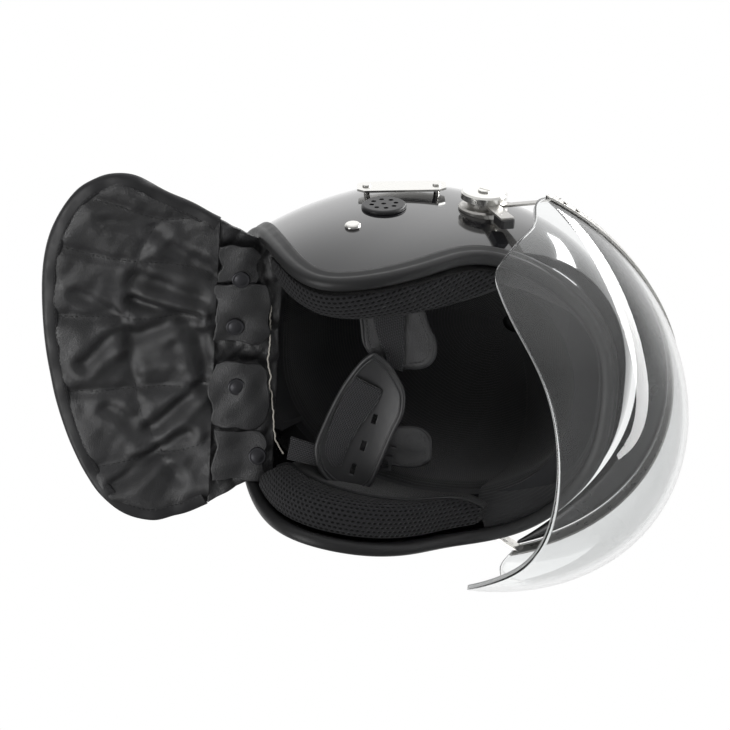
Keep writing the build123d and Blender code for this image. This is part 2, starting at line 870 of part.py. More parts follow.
if __name__ == "__main__":
    os.makedirs("parts", exist_ok=True)
    write("shell", make_shell())
    write("edge_trim", make_trim())
    write("foam_liner", make_liner())
    write("comfort_lining", make_lining())
    write("nape_pad", make_nape_pad())
    write("strap_rivets", make_strap_rivets())
    write("mask_plate_rivets", make_mask_plate_rivets())
    write("pivot_screws", make_pivot_screws())
    band = make_band()
    write("visor_band", band)
    write("visor_lens", make_lens(band))
    write("visor_seal", make_seal())
    write("band_rivets", make_band_rivets())
    panel = guard_body()
    write("neck_guard", panel)
    write("neck_binding", make_binding(panel))
    write("neck_strip", make_neck_strip())
    write("neck_tabs", make_neck_tabs())
    write("snap_caps", make_snap_caps())
    write("chin_cup", make_chin_cup())
    write("cup_webbing", make_cup_webbing())
    write("strap_slide", make_strap_slide())
    for word, side in SIDES.items():
        write("cheek_pad_" + word, make_cheek_pad(side))
        write("vent_" + word, make_vent(side))
        write("mask_plate_" + word, make_mask_plate(side))
        write("pivot_base_" + word, make_pivot_base(side))
        write("pivot_washer_" + word, make_pivot_washer(side))
        write("pivot_knob_" + word, make_pivot_knob(side))
        write("arm_clip_" + word, make_arm_clip(side))
        write("ear_flap_" + word, make_ear_flap(side))
        write("webbing_" + word, make_webbing(side))
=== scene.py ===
import math

import bmesh
import bpy
import numpy as np
from mathutils import Matrix, Vector


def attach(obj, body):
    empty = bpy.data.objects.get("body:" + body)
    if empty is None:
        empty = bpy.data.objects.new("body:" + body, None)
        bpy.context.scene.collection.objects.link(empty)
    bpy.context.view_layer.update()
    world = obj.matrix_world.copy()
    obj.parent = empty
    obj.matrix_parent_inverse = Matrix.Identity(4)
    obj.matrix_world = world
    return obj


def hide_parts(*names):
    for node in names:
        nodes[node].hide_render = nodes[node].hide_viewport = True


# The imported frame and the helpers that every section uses. Lengths in the form
# functions are millimetres; meshes are made in metres.
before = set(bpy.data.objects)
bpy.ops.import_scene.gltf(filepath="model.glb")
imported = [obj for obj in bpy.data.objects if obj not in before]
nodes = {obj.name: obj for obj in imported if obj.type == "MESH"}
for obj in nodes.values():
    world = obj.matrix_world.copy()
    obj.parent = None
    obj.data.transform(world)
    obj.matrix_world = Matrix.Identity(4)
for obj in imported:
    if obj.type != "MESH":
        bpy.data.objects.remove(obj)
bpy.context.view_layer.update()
MM = 0.001


def spline_through(points, count):
    """Evenly spaced places on a smooth curve through the points."""
    points = np.array(points, float)
    steps = np.r_[0, np.cumsum(np.linalg.norm(np.diff(points, axis=0), axis=1))]
    n = len(points)
    gaps = np.diff(steps)
    left = np.zeros((n, n))
    right = np.zeros((n, points.shape[1]))
    left[0, 0] = left[-1, -1] = 1
    for i in range(1, n - 1):
        left[i, i - 1 : i + 2] = gaps[i - 1], 2 * (gaps[i - 1] + gaps[i]), gaps[i]
        right[i] = 6 * ((points[i + 1] - points[i]) / gaps[i] - (points[i] - points[i - 1]) / gaps[i - 1])
    bend = np.linalg.solve(left, right)
    places = np.linspace(0, steps[-1], count)
    k = np.clip(np.searchsorted(steps, places) - 1, 0, n - 2)
    h = gaps[k][:, None]
    a = (steps[k + 1] - places)[:, None] / h
    b = 1 - a
    return a * points[k] + b * points[k + 1] + ((a**3 - a) * bend[k] + (b**3 - b) * bend[k + 1]) * h**2 / 6


def grid_mesh(name, rows, closed_u=False, closed_v=False, uv=None, body="helmet", thickness=0.0):
    """A mesh over a grid of places, rows by columns, in millimetres."""
    rows = np.array(rows, float)
    count_v, count_u = rows.shape[:2]
    mesh = bpy.data.meshes.new(name)
    faces = []
    uv_faces = []
    for j in range(count_v if closed_v else count_v - 1):
        for i in range(count_u if closed_u else count_u - 1):
            j2 = (j + 1) % count_v
            i2 = (i + 1) % count_u
            faces.append((j * count_u + i, j * count_u + i2, j2 * count_u + i2, j2 * count_u + i))
            uv_faces.append(((j, i), (j, i + 1), (j + 1, i + 1), (j + 1, i)))
    mesh.from_pydata((rows.reshape(-1, 3) * MM).tolist(), [], faces)
    if uv is not None:
        uv = np.array(uv, float)
        layer = mesh.uv_layers.new(name="UVMap")
        flat = []
        for quad in uv_faces:
            for j, i in quad:
                flat.extend(uv[min(j, uv.shape[0] - 1), min(i, uv.shape[1] - 1)])
        layer.data.foreach_set("uv", flat)
    mesh.polygons.foreach_set("use_smooth", [True] * len(mesh.polygons))
    piece = bpy.data.objects.new(name, mesh)
    bpy.context.scene.collection.objects.link(piece)
    if thickness:
        solid = piece.modifiers.new("thickness", "SOLIDIFY")
        solid.thickness = thickness * MM
        solid.offset = -1
    if body:
        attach(piece, body)
    return piece


def arc_uv(rows, closed_u=False):
    """UVs in millimetres along the columns and the rows of a grid."""
    rows = np.array(rows, float)
    if closed_u:
        rows = np.concatenate([rows, rows[:, :1]], axis=1)
    across = np.linalg.norm(np.diff(rows, axis=1), axis=2)
    along = np.linalg.norm(np.diff(rows, axis=0), axis=2)
    u = np.concatenate([np.zeros((rows.shape[0], 1)), np.cumsum(across, axis=1)], axis=1)
    v = np.concatenate([np.zeros((1, rows.shape[1])), np.cumsum(along, axis=0)], axis=0)
    return np.stack([u, v], axis=2)


def normals_of(rows):
    """Unit normals of a grid, from its columns and rows."""
    rows = np.array(rows, float)
    du = np.gradient(rows, axis=1)
    dv = np.gradient(rows, axis=0)
    n = np.cross(du, dv)
    return n / np.maximum(np.linalg.norm(n, axis=2, keepdims=True), 1e-9)


# The shell's form, as in the CAD: an oval dome that turns squarer towards the skirt,
# and the rim seen from the side.
FRONT, BACK, SIDE, CROWN = 130.0, 152.0, 114.6, 119.0
CENTRE_BACK, CENTRE_UP = 15.0, -6.6


def level(h, inset=0.0):
    h = np.asarray(h, float)
    share = np.clip(h / (CROWN - inset), 0, 1) ** 2.3
    dome = np.maximum(1 - share, 0) ** (1 / 2.3)
    skirt = np.sqrt(np.maximum(1 - (np.minimum(h, 0) / 254.0) ** 2, 0))
    reach = []
    for size in (FRONT, BACK, SIDE):
        reach.append(np.where(h > 0, (size - inset) * dome, size * skirt - inset))
    return reach


def plan_power(h):
    return 1.9 + 1.5 * (CROWN - np.asarray(h, float)) / (CROWN + 172.0)


def shell_point(turn, h, inset=0.0):
    """Place on the shell's surface set in by `inset`; turn 0 is the nape and pi the brow."""
    front, back, side = level(h, inset)
    power = 2 / plan_power(h)
    middle = CENTRE_BACK + (back - front) / 2
    along = np.sign(np.cos(turn)) * np.abs(np.cos(turn)) ** power
    across = np.sign(np.sin(turn)) * np.abs(np.sin(turn)) ** power
    x = side * across
    y = middle + (front + back) / 2 * along
    return np.stack([x, y, np.asarray(h, float) + CENTRE_UP + 0 * x], axis=-1)


def shell_normal(turn, h):
    d = 1e-3
    du = shell_point(turn + d, h) - shell_point(turn - d, h)
    dh = shell_point(turn, h + 0.05) - shell_point(turn, h - 0.05)
    n = np.cross(dh, du)
    n /= np.linalg.norm(n, axis=-1, keepdims=True)
    out = shell_point(turn, h) - np.array([0, 26.0, 0])
    out[..., 2] = 0
    flip = np.sign(np.sum(n * out, axis=-1, keepdims=True))
    return n * flip


def half_width(y, z, inset=0.0):
    h = z - CENTRE_UP
    front, back, side = level(h, inset)
    power = plan_power(h)
    middle = CENTRE_BACK + (back - front) / 2
    share = np.clip(np.abs(y - middle) * 2 / (front + back), 0, 1)
    return side * (1 - share**power) ** (1 / power)


rim_shares = [(1.18, -0.49), (0.96, -0.525), (0.77, -0.67), (0.50, -0.89), (0.19, -1.0), (-0.03, -0.865),
              (-0.185, -0.63), (-0.28, -0.43), (-0.42, -0.315), (-0.675, -0.17), (-0.95, 0.01), (-1.22, 0.06)]
rim_yz = spline_through([(ys * (BACK if ys > 0 else FRONT), zs * 148.5) for ys, zs in rim_shares], 900)
top_shares = [(1.2, -0.30), (0.80, -0.33), (0.42, -0.35), (0.07, -0.315), (-0.40, -0.165)]
top_yz = [(ys * (BACK if ys > 0 else FRONT), zs * 148.5) for ys, zs in top_shares]


def rim_z(y):
    return np.interp(y, rim_yz[::-1, 0], rim_yz[::-1, 1])


def pad_top(y):
    line = np.array(top_yz)[::-1]
    return np.interp(y, line[:, 0], line[:, 1])


def level_where(turn, height_of):
    """For each turn the level where the shell crosses a line seen from the side."""
    low = np.full_like(turn, -171.0)
    high = np.full_like(turn, CROWN - 1)
    for _ in range(44):
        mid = (low + high) / 2
        place = shell_point(turn, mid)
        under = place[:, 2] < height_of(place[:, 1])
        low = np.where(under, mid, low)
        high = np.where(under, high, mid)
    return (low + high) / 2


def even_turns(count):
    """Turns that space places evenly round the plan at the rim."""
    turn = np.linspace(0, 2 * np.pi, 4001)
    place = shell_point(turn, np.full_like(turn, -20.0))
    steps = np.r_[0, np.cumsum(np.linalg.norm(np.diff(place, axis=0), axis=1))]
    return np.interp(np.linspace(0, steps[-1], count, endpoint=False), steps, turn)


# Materials. Every finish is built from nodes on object or UV coordinates.
def material(name, base, rough, metallic=0.0, spec=0.5):
    m = bpy.data.materials.new(name)
    m.use_nodes = True
    tree = m.node_tree
    shader = tree.nodes["Principled BSDF"]
    shader.inputs["Base Color"].default_value = (*base, 1)
    shader.inputs["Roughness"].default_value = rough
    shader.inputs["Metallic"].default_value = metallic
    shader.inputs["Specular IOR Level"].default_value = spec
    return m, tree, shader


def link(tree, a, b):
    tree.links.new(a, b)


def coords(tree, kind="Object", scale=1.0):
    tex = tree.nodes.new("ShaderNodeTexCoord")
    mapping = tree.nodes.new("ShaderNodeMapping")
    mapping.inputs["Scale"].default_value = (scale, scale, scale) if np.isscalar(scale) else scale
    link(tree, tex.outputs[kind], mapping.inputs["Vector"])
    return mapping.outputs["Vector"]


def noise(tree, vector, scale, detail=4.0, rough=0.55):
    n = tree.nodes.new("ShaderNodeTexNoise")
    n.inputs["Scale"].default_value = scale
    n.inputs["Detail"].default_value = detail
    n.inputs["Roughness"].default_value = rough
    link(tree, vector, n.inputs["Vector"])
    return n.outputs["Fac"]


def ramp(tree, value, stops):
    r = tree.nodes.new("ShaderNodeValToRGB")
    while len(r.color_ramp.elements) < len(stops):
        r.color_ramp.elements.new(0.5)
    for element, (place, colour) in zip(r.color_ramp.elements, stops):
        element.position = place
        element.color = (*colour, 1) if len(colour) == 3 else colour
    link(tree, value, r.inputs["Fac"])
    return r.outputs["Color"]


def span(tree, value, low, high, to_low, to_high):
    r = tree.nodes.new("ShaderNodeMapRange")
    for key, number in (("From Min", low), ("From Max", high), ("To Min", to_low), ("To Max", to_high)):
        r.inputs[key].default_value = number
    link(tree, value, r.inputs["Value"])
    return r.outputs["Result"]


def math_node(tree, operation, a, b=None, c=None):
    n = tree.nodes.new("ShaderNodeMath")
    n.operation = operation
    for slot_number, value in enumerate((a, b, c)):
        if value is None:
            continue
        if isinstance(value, (int, float)):
            n.inputs[slot_number].default_value = value
        else:
            link(tree, value, n.inputs[slot_number])
    return n.outputs["Value"]


def bump(tree, shader, height, strength, distance, previous=None):
    b = tree.nodes.new("ShaderNodeBump")
    b.inputs["Strength"].default_value = strength
    b.inputs["Distance"].default_value = distance
    link(tree, height, b.inputs["Height"])
    if previous is not None:
        link(tree, previous, b.inputs["Normal"])
    link(tree, b.outputs["Normal"], shader.inputs["Normal"])
    return b.outputs["Normal"]


def paint(piece, mat):
    """Gives a piece or a carried CAD node one material."""
    if not piece.material_slots:
        piece.data.materials.append(mat)
    for slot in piece.material_slots:
        slot.material = mat


def tube(name, line, radius, mat, body, sides=10):
    """A round cord along a line of places in millimetres."""
    line = np.array(line, float)
    along = np.gradient(line, axis=0)
    along /= np.maximum(np.linalg.norm(along, axis=1, keepdims=True), 1e-9)
    out_of = np.cross(along, np.array([0.31, 0.27, 0.91]))
    out_of /= np.linalg.norm(out_of, axis=1, keepdims=True)
    aside = np.cross(along, out_of)
    turns_round = np.linspace(0, 2 * math.pi, sides, endpoint=False)
    rows = [line + radius * (math.cos(a) * out_of + math.sin(a) * aside) for a in turns_round]
    piece = grid_mesh(name, rows, closed_v=True, body=body)
    paint(piece, mat)
    return piece


# Gloss black shell: clear lacquer over black, with a trace of orange peel.
gloss, tree, shader = material("gloss_black", (0.005, 0.005, 0.006), 0.12, spec=0.22)
shader.inputs["Coat Weight"].default_value = 1.0
shader.inputs["Coat Roughness"].default_value = 0.035
v = coords(tree)
link(tree, span(tree, noise(tree, v, 60, 3), 0.3, 0.7, 0.10, 0.16), shader.inputs["Roughness"])
bump(tree, shader, noise(tree, v, 220, 2), 0.03, 0.0003)

# Satin rubber of the trim and the seal.
rubber, tree, shader = material("satin_rubber", (0.014, 0.014, 0.0145), 0.40, spec=0.32)
v = coords(tree)
link(tree, span(tree, noise(tree, v, 90, 5), 0.3, 0.7, 0.36, 0.50), shader.inputs["Roughness"])
bump(tree, shader, noise(tree, v, 1500, 3), 0.06, 0.0002)

# Grained leather with its pores and creases.
leather, tree, shader = material("charcoal_leather", (0.018, 0.018, 0.019), 0.42, spec=0.7)
v = coords(tree)
cells = tree.nodes.new("ShaderNodeTexVoronoi")
cells.inputs["Scale"].default_value = 900
cells.feature = "DISTANCE_TO_EDGE"
warp = tree.nodes.new("ShaderNodeVectorMath")
warp.operation = "MULTIPLY_ADD"
grain_noise = tree.nodes.new("ShaderNodeTexNoise")
grain_noise.inputs["Scale"].default_value = 260
link(tree, v, grain_noise.inputs["Vector"])
link(tree, grain_noise.outputs["Color"], warp.inputs[0])
warp.inputs[1].default_value = (0.0016, 0.0016, 0.0016)
link(tree, v, warp.inputs[2])
link(tree, warp.outputs["Vector"], cells.inputs["Vector"])
grain = span(tree, cells.outputs["Distance"], 0.0, 0.25, 0.0, 1.0)
broad = noise(tree, v, 38, 5, 0.6)
shades = [(0.3, (0.010, 0.010, 0.0105)), (0.7, (0.022, 0.022, 0.0235))]
link(tree, ramp(tree, broad, shades), shader.inputs["Base Color"])
link(tree, span(tree, noise(tree, v, 70, 4), 0.3, 0.7, 0.34, 0.46), shader.inputs["Roughness"])
first = bump(tree, shader, grain, 0.35, 0.0004)
bump(tree, shader, noise(tree, v, 90, 4, 0.5), 0.10, 0.0009, first)

# Smooth plastic-coated leather of the cup, and folded binding tape.
cup_leather, tree, shader = material("cup_leather", (0.019, 0.019, 0.020), 0.34)
v = coords(tree)
link(tree, span(tree, noise(tree, v, 300, 4), 0.3, 0.7, 0.34, 0.48), shader.inputs["Roughness"])
bump(tree, shader, noise(tree, v, 900, 4), 0.10, 0.0002)
binding_tape, tree, shader = material("binding_tape", (0.010, 0.010, 0.011), 0.50)
v = coords(tree)
link(tree, span(tree, noise(tree, v, 200, 4), 0.3, 0.7, 0.42, 0.58), shader.inputs["Roughness"])
bump(tree, shader, noise(tree, v, 700, 5), 0.18, 0.0003)
thread, tree, shader = material("thread", (0.020, 0.020, 0.021), 0.55)
v = coords(tree)
bump(tree, shader, noise(tree, v, 4000, 2), 0.3, 0.0002)
pale_thread, tree, shader = material("pale_thread", (0.40, 0.38, 0.34), 0.7)
v = coords(tree)
bump(tree, shader, noise(tree, v, 4000, 2), 0.3, 0.0002)


def woven(name, dark, light, pitch, tilt=0.0, rough=0.8, depth=0.0005, strength=0.8):
    """Woven fabric on UVs in millimetres: ribs that cross at the pitch."""
    m, tree, shader = material(name, dark, rough, spec=0.25)
    shader.inputs["Sheen Weight"].default_value = 0.15
    tex = tree.nodes.new("ShaderNodeTexCoord")
    mapping = tree.nodes.new("ShaderNodeMapping")
    mapping.inputs["Rotation"].default_value = (0, 0, tilt)
    mapping.inputs["Scale"].default_value = (2 * math.pi / pitch[0], 2 * math.pi / pitch[1], 1)
    link(tree, tex.outputs["UV"], mapping.inputs["Vector"])
    parts = tree.nodes.new("ShaderNodeSeparateXYZ")
    link(tree, mapping.outputs["Vector"], parts.inputs["Vector"])
    across = math_node(tree, "SINE", parts.outputs["X"])
    along = math_node(tree, "SINE", parts.outputs["Y"])
    weave = math_node(tree, "MULTIPLY", across, along)
    ribs = math_node(tree, "ADD", weave, math_node(tree, "MULTIPLY", across, 0.35))
    height = span(tree, ribs, -1.2, 1.2, 0, 1)
    link(tree, ramp(tree, height, [(0.25, dark), (0.8, light)]), shader.inputs["Base Color"])
    bump(tree, shader, height, strength, depth)
    return m


def air_mesh(name, pitch, dark, light):
    """Spacer mesh on UVs in millimetres: staggered rows of small oval holes."""
    m, tree, shader = material(name, dark, 0.78, spec=0.15)
    shader.inputs["Sheen Weight"].default_value = 0.05
    tex = tree.nodes.new("ShaderNodeTexCoord")
    parts = tree.nodes.new("ShaderNodeSeparateXYZ")
    link(tree, tex.outputs["UV"], parts.inputs["Vector"])
    x = math_node(tree, "DIVIDE", parts.outputs["X"], pitch)
    y = math_node(tree, "DIVIDE", parts.outputs["Y"], pitch * 1.25)
    row = math_node(tree, "FLOOR", x)
    shift = math_node(tree, "MULTIPLY", math_node(tree, "MODULO", row, 2.0), 0.5)
    fx = math_node(tree, "SUBTRACT", math_node(tree, "FRACT", x), 0.5)
    fy = math_node(tree, "SUBTRACT", math_node(tree, "FRACT", math_node(tree, "ADD", y, shift)), 0.5)
    across = math_node(tree, "MULTIPLY", fx, math_node(tree, "MULTIPLY", fx, 1.25))
    d = math_node(tree, "SQRT", math_node(tree, "ADD", across, math_node(tree, "MULTIPLY", fy, fy)))
    solid = span(tree, d, 0.20, 0.42, 0.0, 1.0)
    fibres = noise(tree, tex.outputs["UV"], 6.0, 3)
    height = math_node(tree, "ADD", solid, math_node(tree, "MULTIPLY", fibres, 0.25))
    link(tree, ramp(tree, solid, [(0.0, dark), (1.0, light)]), shader.inputs["Base Color"])
    bump(tree, shader, height, 1.0, 0.0010)
    return m


webbing_mat = woven("webbing_weave", (0.003, 0.003, 0.0035), (0.040, 0.040, 0.043), (2.0, 1.7), tilt=0.7)
lining_mat = woven("lining_rib", (0.009, 0.009, 0.0095), (0.042, 0.042, 0.044), (1.5, 2.4))
foam_mat = woven("foam_skin", (0.006, 0.006, 0.007), (0.016, 0.016, 0.018), (2.0, 2.0))
pad_fabric = woven("pad_fabric", (0.003, 0.003, 0.0035), (0.009, 0.009, 0.0095), (0.9, 0.9))
mesh_mat = air_mesh("air_mesh", 3.1, (0.0010, 0.0010, 0.0011), (0.019, 0.019, 0.0205))

# Glossy black lip of the visor's seal.
lip_mat, tree, shader = material("seal_lip", (0.010, 0.010, 0.011), 0.22)
v = coords(tree)
link(tree, span(tree, noise(tree, v, 50, 3), 0.3, 0.7, 0.18, 0.30), shader.inputs["Roughness"])

# Metals and plastics of the fittings.
chrome, tree, shader = material("polished_plate", (0.80, 0.79, 0.76), 0.16, metallic=1.0)
v = coords(tree)
link(tree, span(tree, noise(tree, v, 160, 4), 0.3, 0.7, 0.12, 0.24), shader.inputs["Roughness"])
bump(tree, shader, noise(tree, v, 500, 3), 0.04, 0.0002)
steel, tree, shader = material("satin_steel", (0.50, 0.49, 0.47), 0.28, metallic=1.0)
v = coords(tree)
link(tree, span(tree, noise(tree, v, 240, 5), 0.3, 0.7, 0.24, 0.40), shader.inputs["Roughness"])
bump(tree, shader, noise(tree, v, 900, 3), 0.05, 0.0002)
snap_metal, tree, shader = material("gunmetal", (0.055, 0.055, 0.06), 0.34, metallic=0.8)
v = coords(tree)
link(tree, span(tree, noise(tree, v, 400, 5), 0.3, 0.7, 0.28, 0.46), shader.inputs["Roughness"])
vent_plastic, tree, shader = material("vent_plastic", (0.012, 0.012, 0.013), 0.38)
v = coords(tree)
bump(tree, shader, noise(tree, v, 1200, 3), 0.05, 0.0002)

# Clear polycarbonate of the visor lens.
lens_mat, tree, shader = material("clear_visor", (0.915, 0.925, 0.925), 0.0)
shader.inputs["Transmission Weight"].default_value = 1.0
shader.inputs["IOR"].default_value = 1.49
v = coords(tree)
link(tree, span(tree, noise(tree, v, 40, 3), 0.3, 0.7, 0.0, 0.02), shader.inputs["Roughness"])

# The lens's cut edges, which are frosted and catch the light.
lens_edge, tree, shader = material("frosted_edge", (0.72, 0.73, 0.73), 0.45)
shader.inputs["Transmission Weight"].default_value = 0.5
shader.inputs["IOR"].default_value = 1.49
v = coords(tree)
link(tree, span(tree, noise(tree, v, 300, 3), 0.3, 0.7, 0.38, 0.55), shader.inputs["Roughness"])

# Shell: a dense smooth skin over the CAD form, with the wall's thickness.
turns = even_turns(420)
rim_level = level_where(turns, rim_z)
rows = []
for s in np.linspace(0, 1, 110):
    rise = math.sin(s * math.pi / 2)
    rows.append(shell_point(turns, rim_level + (CROWN - 0.1 - rim_level) * rise, 0.0))
shell_rows = np.array(rows)
shell = grid_mesh("shell_skin", shell_rows, closed_u=True)
paint(shell, gloss)
inner_rows = []
for s in np.linspace(0, 1, 60):
    rise = math.sin(s * math.pi / 2)
    inner_rows.append(shell_point(turns, rim_level + (CROWN - 4.1 - rim_level) * rise, 4.0))
shell_inside = grid_mesh("shell_inside", np.array(inner_rows)[:, ::-1], closed_u=True)
paint(shell_inside, gloss)
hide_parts("shell")

# Rubber edge trim: a channel with a round bead, swept round the rim.
loop = shell_point(turns, rim_level)
steps = np.r_[0, np.cumsum(np.linalg.norm(np.diff(np.vstack([loop, loop[:1]]), axis=0), axis=1))]
trim_count = 560
places = np.linspace(0, steps[-1], trim_count, endpoint=False)
trim_turn = np.interp(places, steps, np.r_[turns, turns[0] + 2 * np.pi])
trim_level = level_where(trim_turn, rim_z)
centre = shell_point(trim_turn, trim_level)
out = shell_normal(trim_turn, trim_level)
tangent = np.roll(centre, -1, axis=0) - np.roll(centre, 1, axis=0)
tangent /= np.linalg.norm(tangent, axis=1, keepdims=True)
down = np.cross(out, tangent)
down *= -np.sign(np.sum(down * np.array([0, 0, 1.0]), axis=1, keepdims=True))
for k in range(1, trim_count):
    if np.dot(down[k], down[k - 1]) < 0:
        down[k] = -down[k]
profile = [(0.2, -11.0), (1.2, -11.2), (2.0, -10.4), (2.1, -8.0), (1.7, -5.6), (1.75, -4.4),
           (2.4, -3.0), (2.7, -1.2), (2.2, 0.8), (0.8, 2.1), (-1.2, 2.7), (-3.4, 2.7),
           (-5.2, 2.0), (-6.5, 0.4), (-6.7, -1.8), (-6.3, -5.0), (-5.8, -8.6), (-4.2, -9.0)]
trim_rows = [centre + a * out + b * down for a, b in profile]
trim = grid_mesh("rubber_trim", trim_rows, closed_u=True, closed_v=True)
paint(trim, rubber)
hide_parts("edge_trim")

# Comfort lining: ribbed fabric that turns in behind the trim and runs up to the crown.
def lining_floor(y):
    return np.where(y < -50.0, rim_z(y) + 7.0, pad_top(y) - 1.0)


floor_level = level_where(turns, lining_floor)
lining_rows = []
for s in np.linspace(0, 1, 16):
    a = s * math.pi / 2
    lining_rows.append(shell_point(turns, floor_level + 16.0 * (1 - math.cos(a)), 5.0 + 25.0 * math.sin(a)))
for s in np.linspace(0, 1, 50)[1:]:
    rise = math.sin(s * math.pi / 2)
    start = floor_level + 16.0
    lining_rows.append(shell_point(turns, start + (CROWN - 30.1 - start) * rise, 30.0))
lining_rows = np.array(lining_rows)[:, ::-1]
lining = grid_mesh("lining_fabric", lining_rows, closed_u=True, uv=arc_uv(lining_rows, True))
paint(lining, lining_mat)
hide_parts("comfort_lining")
paint(nodes["foam_liner"], foam_mat)


# Cheek pads: stuffed blocks whose inner face is plain fabric, with a roll of air mesh
# round the lower edge and a welt between the two.
def pad_section(y, share):
    """Corners of a pad's section in the left half: top outside, top inside, crown, bottom."""
    top = pad_top(y) - 1.6
    bottom = rim_z(y) + 4.0
    high = half_width(y, top, 11.0)
    low = half_width(y, bottom, 11.0)
    full = bottom + 0.2 * (top - bottom)
    crown = low + 0.2 * (high - low) - 22.3 * share
    return (high, top), (high - 17.8 * share, top), (crown, full), (low, bottom)


def pad_places(y, share):
    """Outline of a section from the top outside round the inner face and the roll."""
    high, inside, crown, low = [np.array(corner) for corner in pad_section(y, share)]
    places = [high + (inside - high) * s for s in np.linspace(0, 0.86, 7)]
    for s in np.linspace(0.08, 0.93, 12):
        places.append(inside * (1 - s) + crown * s + np.array([-2.0 * math.sin(math.pi * s), 0]))
    for a in np.linspace(0, math.pi / 2, 22):
        across, down_it = math.cos(a) ** 0.86, math.sin(a) ** 0.86
        x, z = low[0] + (crown[0] - low[0]) * across, crown[1] + (low[1] - crown[1]) * down_it
        places.append(np.array([x, z]))
    places += [low + (high - low) * s for s in np.linspace(0.06, 0.94, 8)]
    return places


def pad_share(y, front, back):
    end = min(y - front, back - y)
    return 0.42 + 0.58 * math.sin(min(max(end, 0) / 22.0, 1) * math.pi / 2)


seam_at, roll_end = 17, 40
for word, side, front, back in (("right", -1, -46.0, 92.0), ("left", 1, -46.0, 92.0)):
    rows = []
    for y in np.linspace(front, back, 90):
        rows.append([(side * x, y, z) for x, z in pad_places(y, pad_share(y, front, back))])
    rows = np.array(rows)
    seam = rows[:, seam_at].copy()
    roll = rows[:, seam_at : roll_end + 1].copy()
    middle_line = rows.mean(axis=1, keepdims=True)
    first_cap = rows[:1] * 0.02 + middle_line[:1] * 0.98
    last_cap = rows[-1:] * 0.02 + middle_line[-1:] * 0.98
    rows = np.concatenate([first_cap, rows, last_cap])
    if side > 0:
        rows = rows[:, ::-1]
    pad = grid_mesh("cheek_pad_cover_" + word, rows, closed_u=True, uv=arc_uv(rows, True))
    paint(pad, pad_fabric)
    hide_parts("cheek_pad_" + word)
    bulge = normals_of(roll)
    if np.sum(bulge[45, 10] * (roll[45, 10] - middle_line[45, 0])) < 0:
        bulge = -bulge
    swell = 0.7 + 1.1 * np.sin(np.linspace(0, math.pi, roll.shape[1]))[None, :, None] ** 0.7
    roll = roll + bulge * swell
    if side > 0:
        roll = roll[:, ::-1]
    mesh_roll = grid_mesh("cheek_pad_roll_" + word, roll, uv=arc_uv(roll), thickness=1.2)
    paint(mesh_roll, mesh_mat)
    tube("cheek_pad_welt_" + word, seam + bulge[:, 0] * 1.2, 1.1, binding_tape, "helmet")

paint(nodes["nape_pad"], foam_mat)

# Carried-over fittings.
fittings = (
    (chrome, ("strap_rivets", "mask_plate_right", "mask_plate_left", "mask_plate_rivets",
              "pivot_knob_right", "pivot_knob_left", "pivot_screws")),
    (steel, ("pivot_base_right", "pivot_base_left", "pivot_washer_right", "pivot_washer_left",
             "visor_band", "band_rivets")),
    (vent_plastic, ("arm_clip_right", "arm_clip_left", "vent_right", "vent_left", "strap_slide")),
)
for mat, names in fittings:
    for name in names:
        paint(nodes[name], mat)


# Visor lens: a blown sheet whose places are laid out in the side view between its top
# line, its rear and lower edge and the middle plane, then moved out to the lens's form.
LENS_DROP = math.radians(21.4)
LENS_REACH, LENS_HEIGHT, LENS_WIDTH = 225.9, 140.3, 148.3
LENS_BACK, LENS_DOWN = 23.5, 13.6


def lens_disc(y, z):
    """A place of the side view as a share of the lens's length and height."""
    back, rise = y - LENS_BACK, z + LENS_DOWN
    along = back * math.cos(LENS_DROP) + rise * math.sin(LENS_DROP)
    across = rise * math.cos(LENS_DROP) - back * math.sin(LENS_DROP)
    return np.stack([-along / LENS_REACH, across / LENS_HEIGHT], axis=-1)


def lens_places(disc):
    """Places on the lens's outer face, to the wearer's left, of shares of the side view."""
    along, across = -disc[..., 0] * LENS_REACH, disc[..., 1] * LENS_HEIGHT
    width = LENS_WIDTH * np.sqrt(np.maximum(1 - np.sum(disc**2, axis=-1), 0))
    y = along * math.cos(LENS_DROP) - across * math.sin(LENS_DROP) + LENS_BACK
    z = along * math.sin(LENS_DROP) + across * math.cos(LENS_DROP) - LENS_DOWN
    return np.stack([width, y, z], axis=-1)


def to_circle(line):
    """Cuts a line of the disc where it leaves the circle."""
    inside = np.sum(line**2, axis=1) < 1
    k = int(np.argmin(inside))
    a, b = line[k - 1], line[k]
    for _ in range(40):
        mid = (a + b) / 2
        if np.sum(mid**2) < 1:
            a = mid
        else:
            b = mid
    return np.vstack([line[:k], a])


edge_shares = [(0.735, 0.20), (0.85, 0.345), (0.94, 0.46), (0.985, 0.70), (1.0, 0.88), (1.02, 1.00),
               (1.17, 1.105), (1.43, 1.20), (1.85, 1.295), (2.15, 1.385), (2.45, 1.52)]
edge_line = spline_through([(-50.0, 8.6)] + [(-72.0 * a, -99.0 * b) for a, b in edge_shares], 600)
tip = int(np.argmin(np.hypot(edge_line[:, 0] + 72.6, edge_line[:, 1] + 97.0)))
reach = np.linspace(50, 225, 500)
lens_v, lens_w = 64, 90
rear = lens_disc(*edge_line[: tip + 1].T)[::-1]
low = to_circle(lens_disc(*edge_line[tip:].T))
high = to_circle(lens_disc(-reach, 8.6 + 0.42 * (reach - 50)))


def resample(line, shares):
    steps = np.r_[0, np.cumsum(np.linalg.norm(np.diff(line, axis=0), axis=1))]
    return np.stack([np.interp(shares * steps[-1], steps, line[:, i]) for i in (0, 1)], axis=1)


